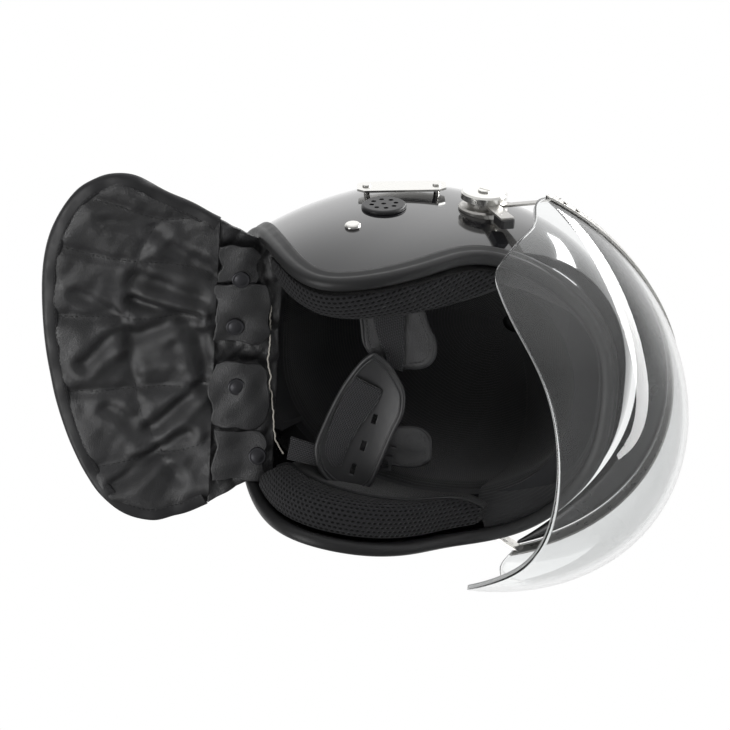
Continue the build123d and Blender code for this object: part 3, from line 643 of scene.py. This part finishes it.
q = 1 - np.cos(np.linspace(0, 1, lens_w) * math.pi / 2)
share_v = np.linspace(0, 1, lens_v)
low_q, high_q, rear_v = resample(low, 1 - q), resample(high, 1 - q), resample(rear, share_v)
turn_low = math.atan2(low[-1, 1], low[-1, 0])
turn_high = math.atan2(high[-1, 1], high[-1, 0])
front_turn = turn_low + (turn_high - turn_low) * share_v
front_v = np.stack([np.cos(front_turn), np.sin(front_turn)], axis=1)
a, b = share_v[:, None, None], q[None, :, None]
disc = (1 - a) * low_q[None] + a * high_q[None] + (1 - b) * front_v[:, None] + b * rear_v[:, None]
corners = ((1 - a) * (1 - b) * front_v[0] + (1 - a) * b * rear_v[0]
           + a * (1 - b) * front_v[-1] + a * b * rear_v[-1])
disc = disc - corners
half_lens = lens_places(disc)
half_lens[:, 0, 0] = 0
mirrored = half_lens[:, :0:-1] * np.array([-1.0, 1, 1])
lens_rows = np.concatenate([mirrored, half_lens], axis=1)
facing = normals_of(lens_rows)[lens_v // 2, lens_w - 1]
if facing[1] > 0:
    lens_rows = lens_rows[:, ::-1]
lens = grid_mesh("visor_sheet", lens_rows, thickness=3.0, body="visor")
lens.modifiers["thickness"].use_even_offset = True
lens.modifiers["thickness"].material_offset_rim = 1
paint(lens, lens_mat)
lens.data.materials.append(lens_edge)
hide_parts("visor_lens")

# Visor seal: a black lip that reaches from the lens's upper edge in to the shell, widest
# at the brow, with a rolled inner edge.
top_line = lens_rows[-1][::3]
near_share = np.abs(np.linspace(-1, 1, len(top_line)))[:, None]
reach_in = 3.0 + 20.0 * np.clip(1 - near_share**2.6, 0, 1)
towards_middle = -top_line / np.linalg.norm(top_line, axis=1, keepdims=True)
seal_rows = []
for s, rise in ((0.0, -1.5), (0.12, -2.6), (0.4, -3.0), (0.7, -2.4), (0.92, -1.0), (1.0, 0.6),
                (0.93, 1.8), (0.7, 0.9), (0.4, 0.2), (0.1, 0.4), (0.0, 1.5)):
    lift = np.array([0.0, -0.35, 0.94]) * rise
    seal_rows.append(top_line + towards_middle * (3.4 + reach_in * s) + lift)
seal = grid_mesh("visor_lip", seal_rows, closed_v=True, uv=None, body="visor")
paint(seal, lip_mat)
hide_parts("visor_seal")

# Neck guard: a quilted leather panel whose outline is given across and along the guard's
# own plane, puffed between its stitch lines, with binding tape and a gathered strip.
GUARD_SLOPE = math.radians(39.3)
GUARD_BACK, GUARD_DOWN = 103.0, 88.0
GUARD_HALF, GUARD_BOW = 111.0, 15.0
PANEL_ROOT = 45.4


def guard_place(x, along, up):
    """Place on the guard: x across it, along it from its root, up out of its outer face."""
    x = np.asarray(x, float)
    along = np.asarray(along, float)
    half = np.where(along < 45, GUARD_HALF, GUARD_HALF + np.minimum((along - 45) * 0.8, 20.0))
    rise = np.asarray(up, float) - GUARD_BOW * (x / half) ** 2
    y = GUARD_BACK + along * math.cos(GUARD_SLOPE) + rise * math.sin(GUARD_SLOPE)
    z = -GUARD_DOWN - along * math.sin(GUARD_SLOPE) + rise * math.cos(GUARD_SLOPE)
    return np.stack([x + 0 * y, y, z], axis=-1)


def distance_to(x, along, line):
    """Distance from places to a polyline in the guard's plane."""
    best = np.full(np.shape(x), 1e9)
    for (ax, ay), (bx, by) in zip(line, line[1:]):
        dx, dy = bx - ax, by - ay
        t = np.clip(((x - ax) * dx + (along - ay) * dy) / (dx * dx + dy * dy), 0, 1)
        best = np.minimum(best, np.hypot(x - ax - t * dx, along - ay - t * dy))
    return best


def waves(x, y, seed, size, octaves=4):
    """Smooth seeded unevenness of about plus or minus one."""
    r = np.random.default_rng(seed)
    total = np.zeros(np.broadcast(x, y).shape)
    for k in range(octaves * 5):
        turn = r.uniform(0, 2 * math.pi)
        f = 2 * math.pi / (size / 1.5 ** (k // 5)) * r.uniform(0.7, 1.3)
        total += 0.62 ** (k // 5) * np.sin(f * (x * math.cos(turn) + y * math.sin(turn)) + r.uniform(0, 6.3))
    return total / 3.2


side_right = spline_through([(-107.0, PANEL_ROOT), (-117, 66.5), (-127.4, 89.5), (-135.6, 105),
                             (-136.2, 116)], 60)
side_left = spline_through([(106.9, PANEL_ROOT), (113, 56), (117.5, 67.8), (121, 85.8), (117.4, 103),
                            (108, 116.5)], 60)
end_line = spline_through([(-136.2, 116), (-129.5, 132.8), (-113, 148), (-84.8, 159.9), (-53.2, 163.7),
                           (-24, 162.8), (15, 157.7), (53.1, 148.2), (81.2, 136), (97, 126.5),
                           (108, 116.5)], 160)
root_line = np.stack([np.linspace(-107.0, 106.9, 160), np.full(160, PANEL_ROOT)], axis=1)
span_v = np.linspace(0, 1, 60)[:, None, None]
span_u = np.linspace(0, 1, 160)[None, :, None]
flat = ((1 - span_v) * root_line[None] + span_v * end_line[None]
        + (1 - span_u) * side_right[:, None] + span_u * side_left[:, None])
flat = flat - ((1 - span_u) * (1 - span_v) * root_line[0] + span_u * (1 - span_v) * root_line[-1]
               + (1 - span_u) * span_v * end_line[0] + span_u * span_v * end_line[-1])
outline = np.vstack([side_right, end_line[1:], side_left[::-1][1:]])
quilt_lines = [
    spline_through([(-117.5, 131), (-111.6, 108.7), (-104.1, 86.9), (-107, 62)], 24),
    spline_through([(-81.5, 153), (-74.6, 126.6), (-72.4, 100), (-70.4, 73.3), (-63.9, 47.9)], 30),
    spline_through([(-27, 157), (-28.7, 105.3), (-29.9, 72), (-30.7, 49.8)], 30),
    spline_through([(30, 149), (25.2, 102.3), (21.4, 63.9), (20, 47)], 30),
    spline_through([(85.5, 125), (73.4, 79.9), (63.7, 52.7), (60, 47)], 30),
    spline_through([(-103.6, 85.3), (-86.4, 95.7), (-64.9, 102.2), (-38.4, 104.7), (-13.8, 104.6),
                    (13.9, 101), (34.5, 97.2), (53.2, 90.3), (72.5, 80), (81.7, 74.8), (91.4, 66.4)], 70),
]
# Soft creases that run in from the gathers: places, depth and width.
creases = [
    ([(-14, 103), (-21, 86), (-27, 72), (-23, 62), (-5, 54), (20, 48)], 3.4, 6.0),
    ([(54, 86), (38, 71), (24, 55)], 3.0, 5.0),
    ([(7, 135), (-9, 121), (-21, 110)], 2.4, 5.0),
    ([(-40, 102), (-36, 80), (-32, 60)], 3.4, 4.5),
    ([(-46, 141), (-34, 121), (-30, 110)], 1.6, 4.5),
    ([(96, 112), (84, 95), (68, 78), (58, 62)], 2.8, 5.0),
    ([(-102, 122), (-100, 102), (-94, 84)], 1.5, 5.0),
    ([(-60, 98), (-50, 74), (-44, 58)], 2.2, 6.0),
    ([(8, 92), (4, 72), (6, 58)], -2.2, 7.0),
    ([(40, 118), (48, 104), (62, 92)], 1.6, 5.0),
    ([(-84, 78), (-74, 60), (-70, 48)], 2.0, 5.0),
]
crease_lines = [(spline_through(places, 30), depth, width) for places, depth, width in creases]


def crease_depth(px, pa):
    """How far the creases sink the panel at places of its plane."""
    total = np.zeros(np.shape(px))
    for line, depth, width in crease_lines:
        gap = distance_to(px, pa, line)
        fade = np.clip((pa - PANEL_ROOT) / 6.0, 0, 1)
        rolls = 0.45 * np.exp(-(((gap - 1.9 * width) / width) ** 2))
        total += 1.5 * depth * fade * (np.exp(-((gap / width) ** 2)) - rolls)
    return total


def face_place(px, pa, side):
    """Place on the panel's inner (-1) or outer (1) face at a place of its plane."""
    px, pa = np.asarray(px, float), np.asarray(pa, float)
    seams = np.min([distance_to(px, pa, line) for line in quilt_lines], axis=0)
    rim = 1 - np.exp(-((distance_to(px, pa, outline) / 7.0) ** 2))
    thick = 1.2 + 1.3 * rim + 3.2 * (1 - np.exp(-((seams / 5.0) ** 2))) * rim
    wave = 1.5 * waves(px, pa, 3, 70.0) + 0.4 * waves(px * 0.5 + pa, pa * 1.6 - px, 5, 34.0, 2)
    pull = np.exp(-(((pa - PANEL_ROOT) / 16.0) ** 2))
    wave = wave + pull * 1.6 * np.sin(px / 5.2 + 1.6 * np.sin(px / 17.0)) + crease_depth(px, pa)
    return guard_place(px, pa, wave + side * thick)


x, along = flat[..., 0], flat[..., 1]
inner_face, outer_face = face_place(x, along, -1), face_place(x, along, 1)
guard_rows = np.concatenate([inner_face, outer_face[:, ::-1]], axis=1)
guard = grid_mesh("guard_panel", guard_rows, closed_u=True, uv=arc_uv(guard_rows, True), body=None)
paint(guard, leather)
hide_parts("neck_guard")
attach(guard, "neck_guard")


# Binding: tape folded over the panel's edge, a rounded channel swept round the outline.
bind_line = spline_through(outline[::6], 300)
tangent2 = np.gradient(bind_line, axis=0)
tangent2 /= np.linalg.norm(tangent2, axis=1, keepdims=True)
inward = np.stack([tangent2[:, 1], -tangent2[:, 0]], axis=1)
if np.sum(inward[100] * (np.array([0, 100]) - bind_line[100])) < 0:
    inward = -inward
bind_rows = []
for offset, height in ((9.0, -3.5), (8.6, -4.3), (6.0, -4.1), (2.0, -3.6), (-0.6, -2.4), (-1.5, 0.0),
                       (-0.6, 2.4), (2.0, 3.6), (6.0, 4.1), (8.6, 4.3), (9.0, 3.5)):
    at_line = bind_line + inward * offset
    wave = 1.5 * waves(at_line[:, 0], at_line[:, 1], 3, 70.0)
    bind_rows.append(guard_place(at_line[:, 0], at_line[:, 1], wave + height))
binding = grid_mesh("guard_binding", bind_rows, closed_v=True, uv=arc_uv(bind_rows), body=None)
paint(binding, binding_tape)
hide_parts("neck_binding")
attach(binding, "neck_guard")


def stitches(name, line, place_of, pitch, length, radius, mat, body):
    """Short raised threads along a polyline; place_of turns its points into places."""
    line = np.array(line, float)
    steps = np.r_[0, np.cumsum(np.linalg.norm(np.diff(line, axis=0), axis=1))]
    count = int(steps[-1] / pitch)
    bm = bmesh.new()
    for k in range(count):
        ends = []
        for s in (k * pitch, k * pitch + length):
            at_line = np.array([np.interp(s, steps, line[:, i]) for i in range(line.shape[1])])
            ends.append(Vector(place_of(at_line)) * MM)
        axis = ends[1] - ends[0]
        if axis.length < 1e-6:
            continue
        turned = axis.to_track_quat("Z", "Y").to_matrix().to_4x4()
        stretch = Matrix.Diagonal((radius * MM, radius * MM, axis.length / 2, 1))
        shape = Matrix.Translation((ends[0] + ends[1]) / 2) @ turned @ stretch
        bmesh.ops.create_uvsphere(bm, u_segments=6, v_segments=5, radius=1.0, matrix=shape)
    mesh = bpy.data.meshes.new(name)
    bm.to_mesh(mesh)
    bm.free()
    mesh.polygons.foreach_set("use_smooth", [True] * len(mesh.polygons))
    piece = bpy.data.objects.new(name, mesh)
    bpy.context.scene.collection.objects.link(piece)
    paint(piece, mat)
    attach(piece, body)
    return piece


for k, line in enumerate(quilt_lines):
    for word, side in (("inner", -1), ("outer", 1)):
        stitches("quilt_stitch_%s_%d" % (word, k), line, lambda p, side=side: face_place(p[0], p[1], side),
                 3.6, 2.7, 0.42, thread, "neck_guard")
for word, side in (("inner", -1), ("outer", 1)):
    stitches("binding_stitch_" + word, bind_line + inward * 7.2,
             lambda p, side=side: guard_place(p[0], p[1], 1.5 * waves(p[0], p[1], 3, 70.0) + side * 4.3),
             3.4, 2.5, 0.40, thread, "neck_guard")

# Gathered strip: thin leather that bunches between the shell and the panel.
strip_v = np.linspace(0, 1, 40)[:, None]
strip_u = np.linspace(-1, 1, 200)[None, :]
half_root, half_end = 82.0, 107.5
strip_x = strip_u * (half_root + (half_end - half_root) * strip_v)
strip_a = 0.5 + 45.5 * strip_v + 0 * strip_u
gathers = np.sin(strip_x / 6.5 + 2.0 * np.sin(strip_x / 23.0) + strip_v * 1.2)
fold = 2.4 * gathers * np.sin(np.pi * np.clip(strip_v, 0.05, 1)) ** 0.6
fold = fold + 1.3 * waves(strip_x, strip_a, 11, 22.0)
strip_rows = guard_place(strip_x, strip_a, fold)
strip = grid_mesh("guard_gathers", strip_rows, uv=arc_uv(strip_rows), thickness=1.6, body=None)
paint(strip, leather)
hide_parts("neck_strip")
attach(strip, "neck_guard")

# Leather flaps under the strip, each held by its snap cap.
flap_edges = ((-88, -60, 17, 45), (-57, -14, 8, 46), (3, 50, 7, 46), (54, 88, 6, 43))
for k, (left_x, right_x, near, far) in enumerate(flap_edges):
    across = np.linspace(0, 1, 50)[None, :]
    down_it = np.linspace(0, 1, 36)[:, None]
    corner = 5.0 * (np.abs(2 * across - 1) ** 6)
    px = left_x + (right_x - left_x) * across
    px = px + 2.0 * waves(down_it * 30 + 0 * across, across * 30, 20 + k, 40.0)
    pa = near + (far - near) * down_it + corner * (1 - down_it)
    pa = pa + 1.5 * waves(across * 40, down_it * 20, 30 + k, 30.0)
    lift = -4.6 - 1.6 * np.sin(math.pi * across) - 1.1 * waves(px, pa, 40 + k, 30.0, 2)
    lift = lift - 1.2 * np.sin(math.pi * down_it)
    flap_rows = guard_place(px, pa, lift)
    flap = grid_mesh("snap_flap_%d" % k, flap_rows, uv=arc_uv(flap_rows), thickness=1.5, body="neck_guard")
    paint(flap, leather)
    if k == 0:
        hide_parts("neck_tabs")

# Snap caps: low domes with a rolled edge, one on each flap.
cap_profile = ((0.05, 1.9), (1.5, 1.85), (3.0, 1.6), (4.2, 1.15), (4.9, 0.95), (5.5, 1.15), (6.0, 1.0),
               (6.3, 0.4), (6.3, -0.4), (5.8, -0.9))
for k, (px, pa) in enumerate(((-62.9, 29.3), (-26.1, 31.7), (19.4, 28.5), (69.8, 12.0))):
    turns = np.linspace(0, 2 * math.pi, 48, endpoint=False)
    cap_rows = [guard_place(px + radius * np.cos(turns), pa + radius * np.sin(turns), -8.6 - high)
                for radius, high in cap_profile]
    cap = grid_mesh("snap_cap_%d" % k, cap_rows, closed_u=True, body="neck_guard")
    paint(cap, snap_metal)
    if k == 0:
        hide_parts("snap_caps")

# A pale thread end along the flaps' root.
thread_line = spline_through([(-42, 7.6), (-20, 7.2), (0, 7.0), (28, 3.6), (50, 1.0), (66, -4.0),
                              (69, -6.0)], 80)
thread_x, thread_a = thread_line.T
thread_a = thread_a + 0.7 * waves(thread_x, thread_x, 8, 14.0)
tube("loose_thread", guard_place(thread_x, thread_a, -5.5), 0.55, pale_thread, "neck_guard")


# Chin strap: flaps, webbing and cup laid out in the strap's own plane, which looks down
# and forward.
STRAP_TILT = math.radians(34.0)
STRAP_BACK, STRAP_DROP = 33.0, 90.0


def strap_place(x, front, lift):
    """Place in the strap's plane: x to the wearer's left, front towards the chin."""
    x, front, lift = np.broadcast_arrays(*(np.asarray(v, float) for v in (x, front, lift)))
    y = STRAP_BACK - front * math.cos(STRAP_TILT) - lift * math.sin(STRAP_TILT)
    z = -STRAP_DROP + front * math.sin(STRAP_TILT) - lift * math.cos(STRAP_TILT)
    return np.stack([x, y, z], axis=-1)


def strap_strip(name, left_line, right_line, lift, thickness, mat, count=60):
    """A strip between two lines of the strap's plane; lift is a function of both shares."""
    left_line, right_line = spline_through(left_line, count), spline_through(right_line, count)
    across = np.linspace(0, 1, 16)[None, :]
    down_it = np.linspace(0, 1, count)[:, None]
    px = left_line[:, :1] * (1 - across) + right_line[:, :1] * across
    pf = left_line[:, 1:] * (1 - across) + right_line[:, 1:] * across
    rows = strap_place(px, pf, lift(down_it, across))
    piece = grid_mesh(name, rows, uv=arc_uv(rows), thickness=thickness, body="chin_strap")
    piece.modifiers["thickness"].offset = 0
    paint(piece, mat)
    return piece


def strap_patch(name, outline, lift, thickness, mat):
    """A flat leather patch inside a closed line, with a welt and a row of stitches."""
    line = spline_through(np.vstack([outline, outline[:1]]), 161)[:-1]
    centre_of = line.mean(axis=0)
    rows = []
    for s in np.linspace(0.02, 1, 14):
        ring_line = centre_of + (line - centre_of) * s
        px, pf = ring_line.T
        rows.append(strap_place(px, pf, lift + 0.5 * waves(px, pf, 17, 40.0)))
    piece = grid_mesh(name, rows, closed_u=True, uv=arc_uv(rows, True), thickness=thickness,
                      body="chin_strap")
    piece.modifiers["thickness"].offset = 0
    paint(piece, mat)
    border = np.vstack([line, line[:2]])
    welt = strap_place(border[:, 0], border[:, 1], lift)
    tube(name + "_welt", welt, thickness * 0.62, binding_tape, "chin_strap")
    inside = centre_of + (border - centre_of) * 0.86
    stitches(name + "_stitch", inside, lambda p: strap_place(p[0], p[1], lift + thickness / 2 + 0.1),
             3.0, 2.1, 0.32, thread, "chin_strap")
    return piece


flap_right = np.array([(-60, -4), (-44, 0), (-30, 3), (-22, 9), (-15.5, 18), (-15, 30), (-16, 42),
                       (-19.5, 48), (-28, 51), (-36, 50), (-48, 44), (-60, 38), (-61, 20)])
flap_left = np.array([(57, 2), (48, 1), (38, 4), (31.5, 14), (30, 30), (31, 46), (36, 51.5), (46, 53),
                      (54, 52.5), (58, 47), (58.5, 26)])
for word, shape in (("right", flap_right), ("left", flap_left)):
    patch = strap_patch("ear_flap_leather_" + word, shape, -3.6, 2.2, leather)
    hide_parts("ear_flap_" + word)
upper = strap_strip("webbing_band_right", [(-60, 5.5), (-44, 9), (-28, 15), (-14, 20.5)],
                    [(-60, 29), (-44, 29), (-28, 30), (-13, 30)],
                    lambda s, w: -1.4 + 0.6 * np.sin(s * 5 + w), 1.8, webbing_mat)
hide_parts("webbing_right")
lower = strap_strip("webbing_band_left", [(61, -46), (61.5, -38), (62, -28), (62, -14)],
                    [(44, -44), (45, -38), (46, -31), (50, -13)],
                    lambda s, w: -6.0 + 8.0 * s + 1.6 * np.sin(math.pi * w), 1.8, webbing_mat)
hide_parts("webbing_left")

# Cup: an almond of smooth leather whose hollow looks down and forward, with a raised
# border, three slots through its front half and webbing behind them.
cup_line = spline_through([(-27.4, 9.1), (-22.2, 16.6), (-11.4, 25), (-1.3, 30.5), (7.1, 31.5), (16.6, 30.7),
                           (26.4, 27.5), (38.5, 23.5), (51.6, 19.5), (60.5, 16.7), (70.5, 12.9),
                           (76.9, 7.4), (79.1, -0.3), (76.3, -7.3), (69.4, -16.5), (62, -22),
                           (53.8, -24.6), (45.3, -25.6), (35.5, -23.3), (23.4, -19.1), (10.4, -14.1),
                           (-2.7, -8.1), (-13.6, -2), (-21.3, 3.2), (-27.4, 9.1)], 241)[:-1]
cup_centre = np.array([30.0, 2.5])


def cup_lift(px, pf):
    """Height of the cup over the strap's plane: its border stands about 6 mm further out."""
    across = np.asarray(px, float) - 28.0
    away = np.hypot(across / 54.0, (np.asarray(pf, float) - 3.0 + 0.06 * across) / 28.0)
    return -1.0 + 6.0 * np.clip(away, 0, 1.15) ** 2.2


cup_rows = []
for s in np.linspace(0.01, 1, 30):
    ring_line = cup_centre + (cup_line - cup_centre) * s
    cup_rows.append(strap_place(ring_line[:, 0], ring_line[:, 1], cup_lift(ring_line[:, 0], ring_line[:, 1])))
cup = grid_mesh("cup_leather_shell", cup_rows, closed_u=True, uv=arc_uv(cup_rows, True), thickness=2.4,
                body="chin_strap")
cup.modifiers["thickness"].offset = 0
paint(cup, cup_leather)
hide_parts("chin_cup")
slot_bm = bmesh.new()
for x, front in ((23.6, 12.8), (44.4, 6.4), (62.1, 0.4)):
    base = strap_place(x, front, float(cup_lift(x, front)))
    ahead = (0, -math.cos(STRAP_TILT), math.sin(STRAP_TILT))
    below = (0, -math.sin(STRAP_TILT), -math.cos(STRAP_TILT))
    axes = Matrix(((1, 0, 0), ahead, below)).transposed().to_4x4()
    turned = axes @ Matrix.Rotation(math.radians(-12), 4, "Z")
    shape = Matrix.Translation(Vector(base) * MM) @ turned @ Matrix.Diagonal((0.0072, 0.0034, 0.012, 1))
    bmesh.ops.create_cube(slot_bm, size=1.0, matrix=shape)
slot_mesh = bpy.data.meshes.new("cup_slots")
slot_bm.to_mesh(slot_mesh)
slot_bm.free()
slot_cutter = bpy.data.objects.new("cup_slots", slot_mesh)
bpy.context.scene.collection.objects.link(slot_cutter)
holes = cup.modifiers.new("slots", "BOOLEAN")
holes.object = slot_cutter
holes.operation = "DIFFERENCE"
bpy.context.view_layer.update()
cut_mesh = bpy.data.meshes.new_from_object(cup.evaluated_get(bpy.context.evaluated_depsgraph_get()))
cup.modifiers.clear()
cup.data = cut_mesh
bpy.data.objects.remove(slot_cutter)
border = np.vstack([cup_line, cup_line[:2]])
for k, (scale_of, radius, raised) in enumerate(((1.0, 1.7, 0.4), (0.93, 0.8, 1.1))):
    ring_line = cup_centre + (border - cup_centre) * scale_of
    px, pf = ring_line.T
    tube("cup_border_%d" % k, strap_place(px, pf, cup_lift(px, pf) + raised), radius, cup_leather,
         "chin_strap")
web_left = [(-9, -2.5), (8, -10.5), (24, -16), (36, -19), (46, -20), (54, -18), (60, -13.5)]
web_right = [(0.5, 16.5), (8, 14.5), (17.4, 10.4), (28, 3.6), (38, -1.2), (49, -5.6), (59, -8.2)]
inner_band = strap_strip(
    "cup_webbing_band", web_left, web_right,
    lambda s, w: 1.6 + 3.4 * np.abs(s - 0.5) ** 1.3 + 1.2 * (1 - w) + 0.9 * np.sin(math.pi * w),
    1.8, webbing_mat)
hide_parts("cup_webbing")

# Camera: a long lens from below, in front and to the wearer's right, with the helmet
# lying on its left side, so that its right side is up in the picture.
SENSOR_WIDTH = 36.0
FOCAL_PIXELS, PHOTO_SIDE = 2504.5, 730
forward = Vector((0.39414, 0.51007, 0.76451)).normalized()
flat_right = forward.cross(Vector((-1, 0, 0))).normalized()
flat_up = flat_right.cross(forward)
roll = 0.068176
right = math.cos(roll) * flat_right + math.sin(roll) * flat_up
up = -math.sin(roll) * flat_right + math.cos(roll) * flat_up
camera_data = bpy.data.cameras.new("camera")
camera = bpy.data.objects.new("camera", camera_data)
bpy.context.scene.collection.objects.link(camera)
camera_place = Vector((-0.69084, -0.84316, -1.39648))
camera_turn = Matrix((right, up, -forward)).transposed().to_4x4()
camera.matrix_world = Matrix.Translation(camera_place) @ camera_turn
camera_data.sensor_width = SENSOR_WIDTH
camera_data.lens = FOCAL_PIXELS / PHOTO_SIDE * SENSOR_WIDTH
camera_data.clip_start = 0.1
camera_data.clip_end = 20.0
bpy.context.scene.camera = camera


# Light: white background for the camera, softer and uneven surroundings for reflections,
# a large soft light above the picture and fills from the front and from the left.
def area_light(name, place, target, width, height, power):
    data = bpy.data.lights.new(name, "AREA")
    data.shape = "RECTANGLE"
    data.size = width
    data.size_y = height
    data.energy = power
    lamp = bpy.data.objects.new(name, data)
    bpy.context.scene.collection.objects.link(lamp)
    direction = (Vector(target) - Vector(place)).normalized()
    lamp.location = place
    lamp.rotation_euler = direction.to_track_quat("-Z", "Y").to_euler()
    return lamp


def at(a, b, c):
    """A place in the picture's own axes: right, up and towards the camera, in metres."""
    return right * a + up * b - forward * c


middle = Vector((0, 0.02, -0.02))
lamps = (("key_top", at(0.1, 1.7, 0.6), 1.6, 1.0, 22), ("front_fill", at(0.5, 0.6, 1.9), 1.4, 1.4, 16),
         ("left_fill", at(-1.5, -0.9, 1.0), 1.4, 1.4, 22))
for name, place, width, height, power in lamps:
    lamp = area_light(name, middle + place, middle, width, height, power)
    lamp.visible_glossy = name == "left_fill"
    lamp.visible_transmission = False

# A curved strip lamp that only reflections see: it draws the pale crescent on the lens.
STRIP_DISTANCE = 2400.0
arc = spline_through([(0.39, 0.58, -0.71), (0.55, 0.64, -0.53), (0.73, 0.62, -0.29), (0.89, 0.45, -0.05),
                      (0.97, 0.21, 0.12), (0.93, -0.14, 0.35), (0.79, -0.33, 0.51)], 40)
arc /= np.linalg.norm(arc, axis=1, keepdims=True)
arc_along = np.gradient(arc, axis=0)
arc_side = np.cross(arc, arc_along)
arc_side /= np.linalg.norm(arc_side, axis=1, keepdims=True)
taper = (0.035 + 0.075 * np.sin(np.linspace(0, math.pi, 40)))[:, None]
basis = np.array([right, up, -forward])
strip_lamp_rows = [((arc + side * taper * arc_side) @ basis) * STRIP_DISTANCE + np.array(middle) / MM
                   for side in (-1, 0, 1)]
strip_lamp = grid_mesh("strip_lamp", strip_lamp_rows, body=None)
glow = bpy.data.materials.new("strip_glow")
glow.use_nodes = True
glow_tree = glow.node_tree
glow_tree.nodes.clear()
glow_out = glow_tree.nodes.new("ShaderNodeOutputMaterial")
emission = glow_tree.nodes.new("ShaderNodeEmission")
emission.inputs["Strength"].default_value = 12.0
link(glow_tree, emission.outputs["Emission"], glow_out.inputs["Surface"])
paint(strip_lamp, glow)
strip_lamp.visible_camera = False
strip_lamp.visible_diffuse = False
strip_lamp.visible_transmission = False
strip_lamp.visible_shadow = False

world = bpy.data.worlds.new("studio")
bpy.context.scene.world = world
world.use_nodes = True
tree = world.node_tree
tree.nodes.clear()
out_node = tree.nodes.new("ShaderNodeOutputWorld")
white = tree.nodes.new("ShaderNodeBackground")
white.inputs["Color"].default_value = (1, 1, 1, 1)
soft = tree.nodes.new("ShaderNodeBackground")
soft.inputs["Color"].default_value = (1, 1, 1, 1)
# What reflections see: white behind the object, dimmer on the side of the camera, and
# brighter again towards the top of the picture.
where = tree.nodes.new("ShaderNodeTexCoord")
towards = tree.nodes.new("ShaderNodeVectorMath")
towards.operation = "DOT_PRODUCT"
towards.inputs[1].default_value = tuple(forward)
link(tree, where.outputs["Generated"], towards.inputs[0])
above_it = tree.nodes.new("ShaderNodeVectorMath")
above_it.operation = "DOT_PRODUCT"
above_it.inputs[1].default_value = tuple(up)
link(tree, where.outputs["Generated"], above_it.inputs[0])
backdrop = tree.nodes.new("ShaderNodeMapRange")
backdrop.interpolation_type = "SMOOTHSTEP"
for key, number in (("From Min", 0.30), ("From Max", 0.80), ("To Min", 0.26), ("To Max", 1.0)):
    backdrop.inputs[key].default_value = number
link(tree, towards.outputs["Value"], backdrop.inputs["Value"])
overhead = tree.nodes.new("ShaderNodeMapRange")
overhead.interpolation_type = "SMOOTHSTEP"
for key, number in (("From Min", 0.4), ("From Max", 0.9), ("To Min", 0.0), ("To Max", 0.6)):
    overhead.inputs[key].default_value = number
link(tree, above_it.outputs["Value"], overhead.inputs["Value"])
strength = math_node(tree, "ADD", backdrop.outputs["Result"], overhead.outputs["Result"])
link(tree, strength, soft.inputs["Strength"])
rays = tree.nodes.new("ShaderNodeLightPath")
mix = tree.nodes.new("ShaderNodeMixShader")
seen = math_node(tree, "MAXIMUM", rays.outputs["Is Camera Ray"], rays.outputs["Is Transmission Ray"])
link(tree, seen, mix.inputs["Fac"])
link(tree, soft.outputs["Background"], mix.inputs[1])
link(tree, white.outputs["Background"], mix.inputs[2])
link(tree, mix.outputs["Shader"], out_node.inputs["Surface"])

scene = bpy.context.scene
scene.view_settings.view_transform = "Standard"
scene.view_settings.look = "None"
scene.view_settings.exposure = 0.0
scene.view_settings.gamma = 1.0

bpy.context.view_layer.update()
